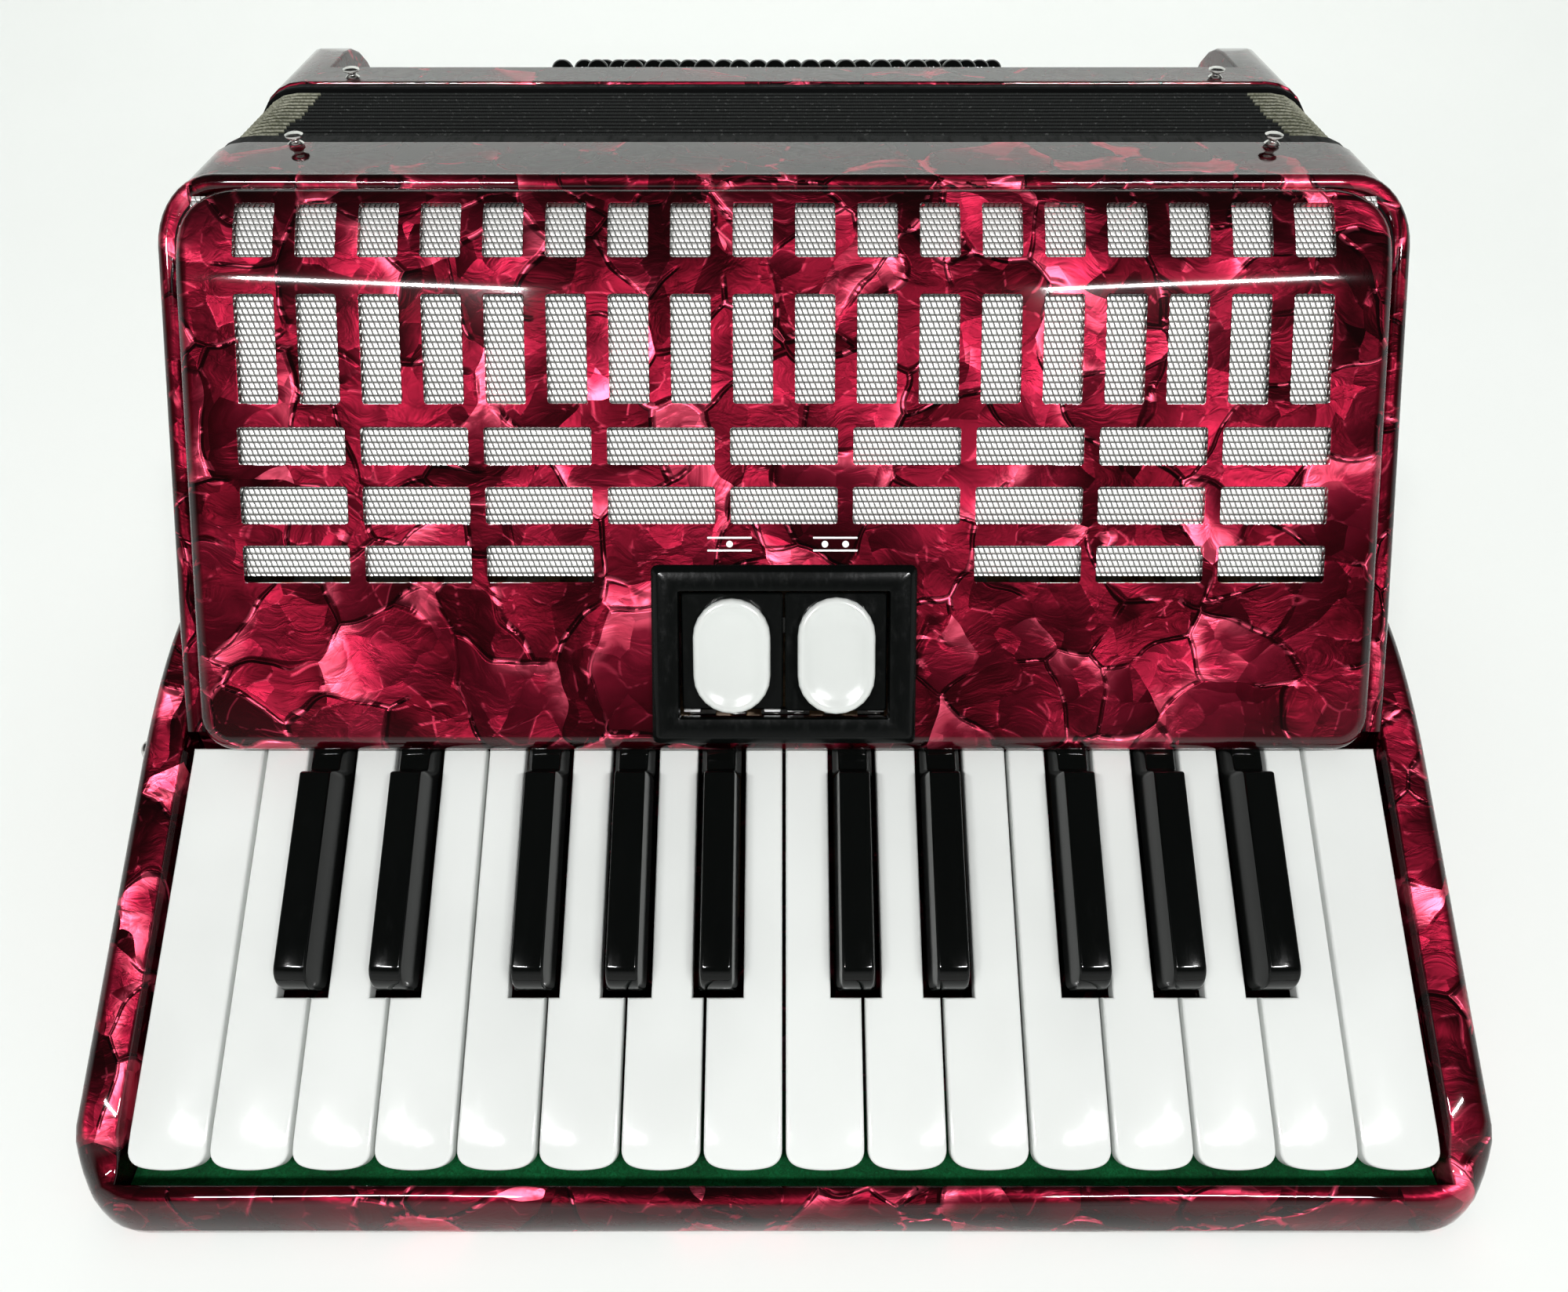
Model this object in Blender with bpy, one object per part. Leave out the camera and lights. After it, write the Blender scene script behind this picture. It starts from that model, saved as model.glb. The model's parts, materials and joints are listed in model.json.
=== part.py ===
"""A 26-key, 48-bass piano accordion with its bellows closed, lying on its back.

X runs along the keyboard from the low notes to the high ones, Y from the keyboard to the bass end,
and Z is up, away from the player's chest. The backs of both casings rest on Z = 0, and the origin is
on the back of the treble casing. Sizes are in millimetres, and MM turns them into metres.
"""

import math

import bmesh
import bpy
from mathutils import Matrix, Vector

MM = 0.001

# Clearances
GAP = 0.3  # between fixed pieces that touch
RUNNING = 0.6  # around pieces that slide or turn
OVERRUN = 4.0  # how far a cutter runs past what it cuts

# Keyboard
KEY_PITCH = 19.5
WHITE_COUNT = 16
FIRST_WHITE = 6  # B, counted from C
KEY_SPACE = 0.9  # between neighbouring white keys
KEY_SLOPE = math.radians(28.5)
TIP_HEIGHT = 18.5  # top edge of a white key's tip above the table
TIP_Y = -162.0
KEY_VISIBLE = 96.0  # from the tip to the grille cover
KEY_HIDDEN = 3.0  # how far the key tops run on under the cover
WHITE_FRONT = 36.0  # from the tip to the notch for a black key
WHITE_THICK = 4.5
TIP_BULGE = 3.2
TIP_CORNER = 3.0
NOTCH_SPACE = 1.2  # between a black key and the white keys beside it
BLACK_WIDTH = 10.2
BLACK_TOP_WIDTH = 7.6
BLACK_HEIGHT = 10.5
BLACK_NOSE = 5.0  # length of the sloping front of a black key
BLACK_REAR = 4.2  # height where a black key passes under the cover
BLACK_START = WHITE_FRONT + 1.6
LEVER_WIDTH = 4.0
LEVER_DEEP = 6.0
PIVOT_ALONG = 111.0  # key axle, from the tip along the key
PIVOT_BELOW = 7.0  # key axle, below the plane of the key tops
AXLE_RADIUS = 1.5

# Grille cover
FACE_SLOPE = math.radians(54.2)
COVER_LIFT = 7.5  # cover's front edge above the plane of the white keys
COVER_INSET = 6.8  # each side, from the casing
COVER_SHELL = 1.8
COVER_DEPTH = 8.7  # from the face back to the casing
COVER_LIP = 1.0  # how far the top edge leans out
COVER_TOE = 2.0  # how far the lower edge leans in
FACE_LENGTH = 115.5  # front edge to the bend
BEND_RADIUS = 65.0
BEND_ANGLE = math.radians(24)
WINDOW_PITCH = 15.35
WINDOW_WIDTH = 9.8
WIDE_WINDOW = WINDOW_PITCH + WINDOW_WIDTH + 1.6
WINDOW_COLUMNS = 18
BAR_PITCH = 14.7
BAR_HEIGHT = 9.1
LOWEST_BAR = 43.7  # lower edge of the lowest row of wide windows
TALL_START = LOWEST_BAR + 3 * BAR_PITCH + 0.3
TALL_HEIGHT = 26.4
TOP_WINDOW = 14.0
TOP_WINDOW_START = 8.0  # beyond the bend
MESH_THICK = 0.8

# Register switches
BEZEL_WIDTH = 66.8
BEZEL_HEIGHT = 45.4
BEZEL_START = 2.8  # lower edge, up the face from the cover's front edge
BEZEL_PROUD = 3.6
BEZEL_OPEN_WIDTH = 53.2
BEZEL_OPEN_HEIGHT = 32.4
SWITCH_THICK = 2.6
CAP_WIDTH = 19.6
CAP_LENGTH = 29.6
CAP_THICK = 4.6
SWITCH_THROW_DEGREES = 5.0
PRESSED_SIDE = "left"  # pressing one switch lifts the other
HINGE_FROM_TOP = 1.5

# Casings
CASE_HALF_WIDTH = WHITE_COUNT * KEY_PITCH / 2 + 1.5
CASE_ABOVE_TIPS = 165.0
CASE_TOP = TIP_HEIGHT + CASE_ABOVE_TIPS
CASE_WALL = 6.0
CASE_FLOOR = 3.5
CASE_CORNER = 15.0
BACK_CORNER = 8.0
CASE_BEHIND_TIPS = 93.5
CASE_TOP_RUN = 22.9  # flat top, from the slanting front to the bellows
PLATE_DEPTH = 26.0  # foundation plate's front, behind the cover's face
PLATE_THICK = 5.0
PLATE_START = 4.4  # lower end above the plane of the keys, clear of the levers at the axle
PALLET_WIDTH = 11.0
PALLET_LENGTH = 24.0
PALLET_THICK = 4.0
WHITE_PALLET = 20.0  # lower edge of each pallet, up the face
BLACK_PALLET = 52.0
SOUND_HOLE_RIM = 2.0
COMB_LOW = 30.0  # spring comb's bar, up the face
COMB_HIGH = 34.0
COMB_DEPTH = 8.6  # behind the face
COMB_THICK = 0.8
TINE_END = 16.0
TINE_WIDTH = 1.6
LOW_BLOCK_DEEP = 36.0
HIGH_BLOCK_DEEP = 32.0
REED_CHAMBERS = 13

# Keyboard frame
ARM_WIDTH = 11.7
ARM_ABOVE_KEYS = 1.5
ARM_LENGTH = 142.0
FRAME_CORNER = 17.0
FRAME_FLOOR = 3.5
FRONT_WALL_INSIDE = 4.6  # ahead of the key tips
FRONT_WALL_THICK = 6.2
FRONT_WALL_HEIGHT = 14.2
FELT_TOP = 7.6
FELT_WIDTH = 26.0

# Bellows
TREBLE_FRAME = 5.7
BASS_FRAME = 3.0
BELLOWS_CLOSED = 39.0
FOLDS = 14
FOLD_INSET = 1.5  # fold tips inside the casing's outline
FOLD_DEPTH = 3.0
BELLOWS_WALL = 18.0

# Bass side
BASS_DEPTH = 56.5
BASS_BLOCK_START = 4.0  # reed block, from the bellows end
BASS_BLOCK_END = 30.0
BASS_CEILING = 32.0  # lower hollow's ceiling under the casing's top
END_PLATE = 3.0
BASS_TOP_DEPTH = 14.8  # from the bellows to the button recess
CHEEK_THICK = 20.0
CHEEK_ROUND = 27.0
BOARD_DROP = 6.3  # top of the button plate under the casing's top, at its near edge
BOARD_SLOPE = math.radians(16)
BOARD_THICK = 3.0
BUTTON_COLUMNS = 12
BUTTON_ROWS = 4
BUTTON_PITCH = 11.0
BUTTON_ROW_PITCH = 9.2
BUTTON_SHIFT = 5.5  # each row against the one before it
BUTTON_RADIUS = 3.5
BUTTON_PROUD = 8.0
BUTTON_SIDES = 8
FIRST_ROW = 6.0
CARRIER = 3.0  # thickness of the bar that joins a row of buttons
CARRIER_HALF_WIDTH = 2.6
END_PLATE_DROP = 36.0  # its top under the casing's top
AIR_INSET = 39.5  # air button, from the side of the casing
AIR_HEIGHT = 120.0
AIR_RADIUS = 6.0
AIR_STEM = 8.0
AIR_PROUD = 5.2
STRAP_WIDTH = 62.0
STRAP_THICK = 3.5
STRAP_BULGE = 27.0
STRAP_LOW = 32.0
STRAP_INSET = 17.5  # each end, from the side of the casing
STRAP_FLAT = 14.0  # length of each end that lies on the plate
WHEEL_RADIUS = 11.0
WHEEL_THICK = 6.0
WHEEL_FROM_END = 16.0
PIN_INSET = 29.5  # from the side of the casing
PIN_RADIUS = 2.4
PIN_HEIGHT = 3.0

# Places that follow from the sizes
FRONT_Y = TIP_Y - FRONT_WALL_INSIDE - FRONT_WALL_THICK
CASE_START = TIP_Y + CASE_BEHIND_TIPS
FACE_START_Y = TIP_Y + KEY_VISIBLE * math.cos(KEY_SLOPE) - COVER_LIFT * math.sin(KEY_SLOPE)
FACE_START_Z = TIP_HEIGHT + KEY_VISIBLE * math.sin(KEY_SLOPE) + COVER_LIFT * math.cos(KEY_SLOPE)
CASE_TOP_START = (
    FACE_START_Y
    + (CASE_TOP - FACE_START_Z) / math.tan(FACE_SLOPE)
    + (COVER_DEPTH + GAP) / math.sin(FACE_SLOPE)
)
CASE_END = CASE_TOP_START + CASE_TOP_RUN
BELLOWS_START = CASE_END + TREBLE_FRAME + 2 * GAP
BELLOWS_END = BELLOWS_START + BELLOWS_CLOSED
BASS_START = BELLOWS_END + BASS_FRAME + 2 * GAP
BASS_END = BASS_START + BASS_DEPTH
ARM_INNER = CASE_HALF_WIDTH + GAP
ARM_OUTER = ARM_INNER + ARM_WIDTH
INSIDE_HALF = CASE_HALF_WIDTH - CASE_WALL
COVER_HALF_WIDTH = CASE_HALF_WIDTH - COVER_INSET
CHEEK_INNER = CASE_HALF_WIDTH - CHEEK_THICK
STRAP_HALF_LENGTH = CASE_HALF_WIDTH - STRAP_INSET
PIN_SPREAD = CASE_HALF_WIDTH - PIN_INSET

BLACK_OFFSETS = {0: -1.7, 1: 1.7, 3: -3.2, 4: 0.0, 5: 3.2}  # C, D, F, G and A sharp, from the boundary

COLOURS = {
    "pearl_red": ((0.28, 0.01, 0.03), 0.2, 0.0),
    "key_white": ((0.85, 0.85, 0.84), 0.15, 0.0),
    "key_black": ((0.01, 0.01, 0.01), 0.12, 0.0),
    "black_plastic": ((0.015, 0.015, 0.015), 0.35, 0.0),
    "metal_cloth": ((0.72, 0.72, 0.74), 0.35, 0.9),
    "chrome": ((0.8, 0.8, 0.8), 0.12, 1.0),
    "felt_green": ((0.0, 0.12, 0.04), 0.95, 0.0),
    "bellows_card": ((0.02, 0.02, 0.02), 0.6, 0.0),
    "frame_wood": ((0.03, 0.025, 0.02), 0.5, 0.0),
    "reed_wood": ((0.55, 0.36, 0.18), 0.6, 0.0),
    "strap_leather": ((0.02, 0.018, 0.016), 0.55, 0.0),
}


def material(name):
    """The named material, made on first use."""
    found = bpy.data.materials.get(name)
    if found:
        return found
    made = bpy.data.materials.new(name)
    made.use_nodes = True
    colour, roughness, metallic = COLOURS[name]
    shader = made.node_tree.nodes["Principled BSDF"]
    shader.inputs["Base Color"].default_value = (*colour, 1)
    shader.inputs["Roughness"].default_value = roughness
    shader.inputs["Metallic"].default_value = metallic
    return made


# Places: each turns three sizes in millimetres into a point in metres


def across(y, z, x):
    """For outlines drawn in the Y-Z plane and swept along X."""
    return Vector((x, y, z)) * MM


def along(x, z, y):
    """For outlines drawn in the X-Z plane and swept along Y."""
    return Vector((x, y, z)) * MM


def upright(x, y, z):
    """For outlines drawn in the X-Y plane and swept along Z."""
    return Vector((x, y, z)) * MM


def key_yz(u, w):
    """(y, z) of a point u up the keys from their tips and w above the plane of the white keys."""
    return (
        TIP_Y + u * math.cos(KEY_SLOPE) - w * math.sin(KEY_SLOPE),
        TIP_HEIGHT + u * math.sin(KEY_SLOPE) + w * math.cos(KEY_SLOPE),
    )


def face_yz(p, q):
    """(y, z) of a point p up the cover's face from its front edge and q behind the face."""
    return (
        FACE_START_Y + p * math.cos(FACE_SLOPE) + q * math.sin(FACE_SLOPE),
        FACE_START_Z + p * math.sin(FACE_SLOPE) - q * math.cos(FACE_SLOPE),
    )


def on_keys(x, u, w):
    return across(*key_yz(u, w), x)


def on_face(x, p, q):
    return across(*face_yz(p, q), x)


def along_face(p, q, x):
    """For outlines drawn up the face and behind it, and swept along X."""
    return on_face(x, p, q)


def board_yz(s, n):
    """(y, z) of a point s down the button plate from its near edge and n above its top."""
    y = BASS_START + BASS_TOP_DEPTH + GAP
    z = CASE_TOP - BOARD_DROP
    return (
        y + s * math.cos(BOARD_SLOPE) + n * math.sin(BOARD_SLOPE),
        z - s * math.sin(BOARD_SLOPE) + n * math.cos(BOARD_SLOPE),
    )


def on_board(x, s, n):
    return across(*board_yz(s, n), x)


# Outlines


def arc(centre_a, centre_b, radius, start, end, steps):
    """Points on a circle, from one angle in degrees to another."""
    turns = [math.radians(start + (end - start) * i / steps) for i in range(steps + 1)]
    return [(centre_a + radius * math.cos(t), centre_b + radius * math.sin(t)) for t in turns]


def rectangle(a0, a1, b0, b1):
    return [(a0, b0), (a1, b0), (a1, b1), (a0, b1)]


def case_section(inset):
    """Outline of both casings in X and Z: large corners at the front, small ones at the back."""
    half = CASE_HALF_WIDTH - inset
    low, high = inset, CASE_TOP - inset
    large, small = max(CASE_CORNER - inset, 1.5), max(BACK_CORNER - inset, 1.0)
    return (
        arc(half - small, low + small, small, -90, 0, 3)
        + arc(half - large, high - large, large, 0, 90, 6)
        + arc(-half + large, high - large, large, 90, 180, 6)
        + arc(-half + small, low + small, small, 180, 270, 3)
    )


# Solids


def finish(name, bm, colour):
    bmesh.ops.recalc_face_normals(bm, faces=bm.faces)
    mesh = bpy.data.meshes.new(name)
    bm.to_mesh(mesh)
    bm.free()
    obj = bpy.data.objects.new(name, mesh)
    bpy.context.scene.collection.objects.link(obj)
    mesh.materials.append(material(colour))
    return obj


def prism(name, outline, place, low, high, colour="frame_wood"):
    """A closed prism: the outline's (a, b) points, swept from low to high and put in place."""
    bm = bmesh.new()
    ends = [[bm.verts.new(place(a, b, c)) for a, b in outline] for c in (low, high)]
    bm.faces.new(ends[0])
    bm.faces.new(ends[1][::-1])
    for i in range(len(outline)):
        j = (i + 1) % len(outline)
        bm.faces.new((ends[0][i], ends[0][j], ends[1][j], ends[1][i]))
    return finish(name, bm, colour)


def lofted(name, rings, colour="frame_wood"):
    """A closed solid through rings of points with the same count, flat at both ends."""
    bm = bmesh.new()
    made = [[bm.verts.new(point) for point in ring] for ring in rings]
    bm.faces.new(made[0])
    bm.faces.new(made[-1][::-1])
    for first, second in zip(made, made[1:]):
        for i in range(len(first)):
            j = (i + 1) % len(first)
            bm.faces.new((first[i], first[j], second[j], second[i]))
    return finish(name, bm, colour)


def turned(name, profile, base, axis, sides, colour):
    """A solid of revolution: (radius, height) pairs, with the heights along an axis from a base."""
    turn = Vector((0, 0, 1)).rotation_difference(Vector(axis))
    rings = []
    for radius, height in profile:
        angles = [2 * math.pi * (i + 0.5) / sides for i in range(sides)]
        points = [Vector((radius * math.cos(t), radius * math.sin(t), height)) * MM for t in angles]
        rings.append([base + turn @ point for point in points])
    return lofted(name, rings, colour)


def combine(obj, others, operation):
    """Joins or cuts with the others in one go, and leaves only the result."""
    for other in others:
        modifier = obj.modifiers.new(operation.title(), "BOOLEAN")
        modifier.operation = operation
        modifier.solver = "EXACT"
        modifier.object = other
    graph = bpy.context.evaluated_depsgraph_get()
    graph.update()
    result = bpy.data.meshes.new_from_object(obj.evaluated_get(graph))
    obj.modifiers.clear()
    old = obj.data
    obj.data = result
    result.name = obj.name
    bpy.data.meshes.remove(old)
    for other in others:
        bpy.data.objects.remove(other)
    return obj


def cut(obj, *cutters):
    return combine(obj, cutters, "DIFFERENCE")


def join(obj, *others):
    return combine(obj, others, "UNION")


def keep_inside(obj, other):
    return combine(obj, [other], "INTERSECT")


def moving(obj, pivot):
    """Puts the object's origin on its joint, with its shape left in place."""
    obj.data.transform(Matrix.Translation(-pivot))
    obj.location = pivot
    return obj


# Keys


def black_centre(boundary):
    """X of the black key at a boundary between white keys, or None where there is none."""
    note = (FIRST_WHITE + boundary - 1) % 7
    if not 0 < boundary < WHITE_COUNT or note not in BLACK_OFFSETS:
        return None
    return (boundary - WHITE_COUNT / 2) * KEY_PITCH + BLACK_OFFSETS[note]


def white_outline(index):
    """Outline of a white key's top, in X and along the key: a bulging tip, and notches for black keys."""
    left = (index - WHITE_COUNT / 2) * KEY_PITCH + KEY_SPACE / 2
    right = left + KEY_PITCH - KEY_SPACE
    middle, half = (left + right) / 2, (right - left) / 2
    end = KEY_VISIBLE + KEY_HIDDEN
    reach = BLACK_WIDTH / 2 + NOTCH_SPACE
    flat = half - TIP_CORNER
    bulge = [
        (middle + flat * k / 3, -TIP_BULGE * (1 - (k / 3) ** 2 * 0.45)) for k in range(-3, 4)
    ]
    outline = [(left, TIP_CORNER * 0.5), *bulge, (right, TIP_CORNER * 0.5)]
    after, before = black_centre(index + 1), black_centre(index)
    if after is None:
        outline.append((right, end))
    else:
        outline += [(right, WHITE_FRONT), (after - reach, WHITE_FRONT), (after - reach, end)]
    if before is None:
        outline.append((left, end))
    else:
        outline += [(before + reach, end), (before + reach, WHITE_FRONT), (left, WHITE_FRONT)]
    return outline


def lever(x, start, pallet):
    """The wooden lever of a key: under its top, over the axle, and up to the pallet."""
    half = LEVER_WIDTH / 2
    py, pz = key_yz(PIVOT_ALONG, -PIVOT_BELOW)
    low = -PIVOT_BELOW - LEVER_DEEP / 2
    arm_back = PLATE_DEPTH - GAP - PALLET_THICK / 2
    arm_front = arm_back - LEVER_DEEP
    outline = [
        key_yz(start, -WHITE_THICK / 2),
        key_yz(start, low + 3.0),
        key_yz(start + 8, low),
        key_yz(PIVOT_ALONG + 1, low),
        face_yz(pallet, arm_back),
        face_yz(pallet + PALLET_LENGTH * 0.8, arm_back),
        face_yz(pallet + PALLET_LENGTH * 0.8, arm_front + 2),
        face_yz(pallet - 4, arm_front),
        key_yz(PIVOT_ALONG + 2, -PIVOT_BELOW + LEVER_DEEP / 2 + 1),
        key_yz(KEY_VISIBLE, -WHITE_THICK / 2),
    ]
    body = prism("lever", outline, across, x - half, x + half)
    bore = turned(
        "bore",
        [(AXLE_RADIUS + RUNNING, -LEVER_WIDTH), (AXLE_RADIUS + RUNNING, LEVER_WIDTH)],
        across(py, pz, x),
        (1, 0, 0),
        8,
        "frame_wood",
    )
    pad = prism(
        "pallet",
        rectangle(x - PALLET_WIDTH / 2, x + PALLET_WIDTH / 2, pallet, pallet + PALLET_LENGTH),
        on_face,
        PLATE_DEPTH - GAP - PALLET_THICK,
        PLATE_DEPTH - GAP,
    )
    return cut(join(body, pad), bore)


def white_key(index):
    name = f"white_key_{index + 1:02d}"
    top = prism(name, white_outline(index), on_keys, -WHITE_THICK, 0, "key_white")
    join(top, lever(white_lever_x(index), WHITE_FRONT + 20, WHITE_PALLET))
    return moving(top, on_keys(0, PIVOT_ALONG, -PIVOT_BELOW))


def white_lever_x(index):
    """A white key's lever stands midway between the black ones, and inside the casing's walls."""
    left, right = black_centre(index), black_centre(index + 1)
    if left is None:
        left = (index - WHITE_COUNT / 2) * KEY_PITCH
    if right is None:
        right = (index + 1 - WHITE_COUNT / 2) * KEY_PITCH
    most = INSIDE_HALF - PALLET_WIDTH / 2 - 1.0
    return max(-most, min(most, (left + right) / 2))


def black_key(number, x):
    name = f"black_key_{number:02d}"
    base, top = BLACK_WIDTH / 2, BLACK_TOP_WIDTH / 2
    start, end = BLACK_START, KEY_VISIBLE - 3.5
    under = -WHITE_THICK
    rings = []
    for u, half_low, half_high, high in (
        (start, base - 0.6, top - 0.4, 2.5),
        (start + BLACK_NOSE * 0.35, base, top, BLACK_HEIGHT - 2.2),
        (start + BLACK_NOSE, base, top, BLACK_HEIGHT),
        (end - 2.5, base, top, BLACK_HEIGHT),
        (end, base, top, BLACK_REAR),
        (KEY_VISIBLE + KEY_HIDDEN, base, top, BLACK_REAR - 0.6),
    ):
        rings.append(
            [
                on_keys(x - half_low, u, under),
                on_keys(x + half_low, u, under),
                on_keys(x + half_low, u, 1.0),
                on_keys(x + half_high, u, high),
                on_keys(x - half_high, u, high),
                on_keys(x - half_low, u, 1.0),
            ]
        )
    body = lofted(name, rings, "key_black")
    join(body, lever(x, WHITE_FRONT + 20, BLACK_PALLET))
    return moving(body, on_keys(0, PIVOT_ALONG, -PIVOT_BELOW))


def lever_places():
    """(x, pallet start) of every key's lever."""
    whites = [(white_lever_x(i), WHITE_PALLET) for i in range(WHITE_COUNT)]
    blacks = [black_centre(i) for i in range(WHITE_COUNT)]
    return whites + [(x, BLACK_PALLET) for x in blacks if x is not None]


def keyboard():
    for index in range(WHITE_COUNT):
        white_key(index)
    blacks = [black_centre(i) for i in range(WHITE_COUNT)]
    for number, x in enumerate([x for x in blacks if x is not None], start=1):
        black_key(number, x)
    half = INSIDE_HALF - GAP
    turned(
        "key_axle",
        [(AXLE_RADIUS, -half), (AXLE_RADIUS, half)],
        on_keys(0, PIVOT_ALONG, -PIVOT_BELOW),
        (1, 0, 0),
        8,
        "chrome",
    )


def spring_comb():
    """One comb of flat springs in front of the levers, with a tine for each key."""
    tines = sorted(x for x, _ in lever_places())
    half = COVER_HALF_WIDTH - COVER_SHELL - 1.0
    outline = [(half, COMB_LOW), (half, COMB_HIGH), (-half, COMB_HIGH), (-half, COMB_LOW)]
    for x in tines:
        left, right = x - TINE_WIDTH / 2, x + TINE_WIDTH / 2
        outline += [(left, COMB_LOW), (left, TINE_END), (right, TINE_END), (right, COMB_LOW)]
    prism("key_spring_comb", outline, on_face, COMB_DEPTH, COMB_DEPTH + COMB_THICK, "chrome")


def key_felt():
    y0 = TIP_Y - FRONT_WALL_INSIDE + GAP
    prism(
        "key_felt",
        rectangle(y0, y0 + FELT_WIDTH, FRAME_FLOOR + GAP, FELT_TOP),
        across,
        -ARM_INNER + GAP,
        ARM_INNER - GAP,
        "felt_green",
    )


# Keyboard frame and casings


def keyboard_frame():
    """A tray round the keys: a low front wall with rounded corners, and two arms beside the casing."""
    taper_start = TIP_Y + KEY_VISIBLE - 12
    arm_end = key_yz(ARM_LENGTH, 0)[0] + 8
    taper = [
        (ARM_OUTER - (ARM_WIDTH - 1.2) * (1 - math.cos(math.pi / 2 * k / 6)),
         taper_start + (arm_end - taper_start) * math.sin(math.pi / 2 * k / 6))
        for k in range(7)
    ]
    corner = arc(ARM_OUTER - FRAME_CORNER, FRONT_Y + FRAME_CORNER, FRAME_CORNER, -90, 0, 6)
    right = corner + taper
    plan = right + [(-x, y) for x, y in reversed(right)]
    tray = prism("keyboard_frame", plan, upright, 0, CASE_TOP, "pearl_red")
    inside = TIP_Y - FRONT_WALL_INSIDE
    crest = FRONT_WALL_HEIGHT
    profile = [
        (FRONT_Y + 2.6, 0),
        (FRONT_Y + 0.6, 1.0),
        (FRONT_Y, 3.0),
        (FRONT_Y + 1.2, crest - 4.5),
        (inside - 3.0, crest - 1.2),
        (inside - 1.6, crest),
        (inside, crest),
        key_yz(6, ARM_ABOVE_KEYS),
        key_yz(ARM_LENGTH - 18, ARM_ABOVE_KEYS),
        key_yz(ARM_LENGTH - 8, ARM_ABOVE_KEYS - 1.5),
        key_yz(ARM_LENGTH, ARM_ABOVE_KEYS - 6.5),
        (key_yz(ARM_LENGTH, 0)[0] + 5, key_yz(ARM_LENGTH, 0)[1] - 17),
        (key_yz(ARM_LENGTH, 0)[0] + 6, 0),
    ]
    keep_inside(tray, prism("side", profile, across, -ARM_OUTER - 5, ARM_OUTER + 5))
    well = prism(
        "well",
        rectangle(inside, CASE_START - GAP, FRAME_FLOOR, CASE_TOP + 5),
        across,
        -ARM_INNER,
        ARM_INNER,
    )
    past = prism(
        "past",
        rectangle(CASE_START - GAP - 1, CASE_END, -OVERRUN, CASE_TOP + OVERRUN),
        across,
        -ARM_INNER,
        ARM_INNER,
    )
    return cut(tray, well, past)


def foundation_reach():
    """Lower and upper end of the foundation plate, up the face.

    It ends under the casing's top, or before the bellows where the slope brings it there first.
    """
    bottom = PLATE_START - COVER_LIFT
    under_top = (CASE_TOP - CASE_WALL - GAP - face_yz(0, PLATE_DEPTH)[1]) / math.sin(FACE_SLOPE)
    back = face_yz(0, PLATE_DEPTH + PLATE_THICK)
    before_bellows = (CASE_END - GAP - back[0]) / math.cos(FACE_SLOPE)
    return bottom, min(under_top, before_bellows)


def treble_casing():
    """A rounded box, open to the bellows, with a slanting front that the grille cover closes."""
    rim = COVER_DEPTH + GAP
    casing = prism("treble_casing", case_section(0), along, CASE_START, CASE_END, "pearl_red")
    lowest = (CASE_START - face_yz(0, rim)[0]) / math.cos(FACE_SLOPE)
    side = [
        (CASE_START, -5),
        face_yz(lowest, rim),
        face_yz(2 * CASE_TOP, rim),
        (CASE_END + 2 * CASE_TOP, face_yz(2 * CASE_TOP, rim)[1]),
        (CASE_END + 2 * CASE_TOP, -5),
    ]
    keep_inside(casing, prism("side", side, across, -CASE_HALF_WIDTH - 5, CASE_HALF_WIDTH + 5))
    bottom = foundation_reach()[0]
    wall_front = face_yz(bottom, PLATE_DEPTH)
    wall_back = face_yz(bottom, PLATE_DEPTH + PLATE_THICK)
    sill = min(wall_front[1], wall_back[1]) - GAP
    cavity = [
        (CASE_START - 5, CASE_FLOOR),
        (wall_front[0], CASE_FLOOR),
        (wall_front[0], sill),
        (wall_back[0] + 2, sill),
        (wall_back[0] + 2, CASE_FLOOR),
        (CASE_END + 5, CASE_FLOOR),
        (CASE_END + 5, CASE_TOP - CASE_WALL),
        (CASE_START - 5, CASE_TOP - CASE_WALL),
    ]
    return cut(casing, prism("cavity", cavity, across, -INSIDE_HALF, INSIDE_HALF))


def foundation_plate():
    """The board behind the levers, with a sound hole under each pallet."""
    bottom, top = foundation_reach()
    half = INSIDE_HALF - GAP
    plate = prism(
        "foundation_plate",
        rectangle(-half, half, bottom, top),
        on_face,
        PLATE_DEPTH,
        PLATE_DEPTH + PLATE_THICK,
        "reed_wood",
    )
    holes = [
        prism(
            "hole",
            rectangle(
                x - PALLET_WIDTH / 2 + SOUND_HOLE_RIM,
                x + PALLET_WIDTH / 2 - SOUND_HOLE_RIM,
                start + SOUND_HOLE_RIM,
                start + PALLET_LENGTH - SOUND_HOLE_RIM,
            ),
            on_face,
            PLATE_DEPTH - 2,
            PLATE_DEPTH + PLATE_THICK + 2,
        )
        for x, start in lever_places()
    ]
    return cut(plate, *holes)


def reed_block(name, start, deep):
    """A row of reed chambers behind the sound holes, with the reed plates on its two long sides."""
    back = PLATE_DEPTH + PLATE_THICK + GAP
    half = INSIDE_HALF - 12
    end = start + PALLET_LENGTH
    block = prism(
        name,
        rectangle(start + 3, end - 3, back, back + deep),
        along_face,
        -half,
        half,
        "reed_wood",
    )
    pitch = 2 * half / REED_CHAMBERS
    slots = [
        prism(
            "chamber",
            rectangle(-half + pitch * (k + 0.2), -half + pitch * (k + 0.8), start + 6, end - 6),
            on_face,
            back - 2,
            back + deep - 4,
        )
        for k in range(REED_CHAMBERS)
    ]
    return cut(block, *slots)


# Grille cover


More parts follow.
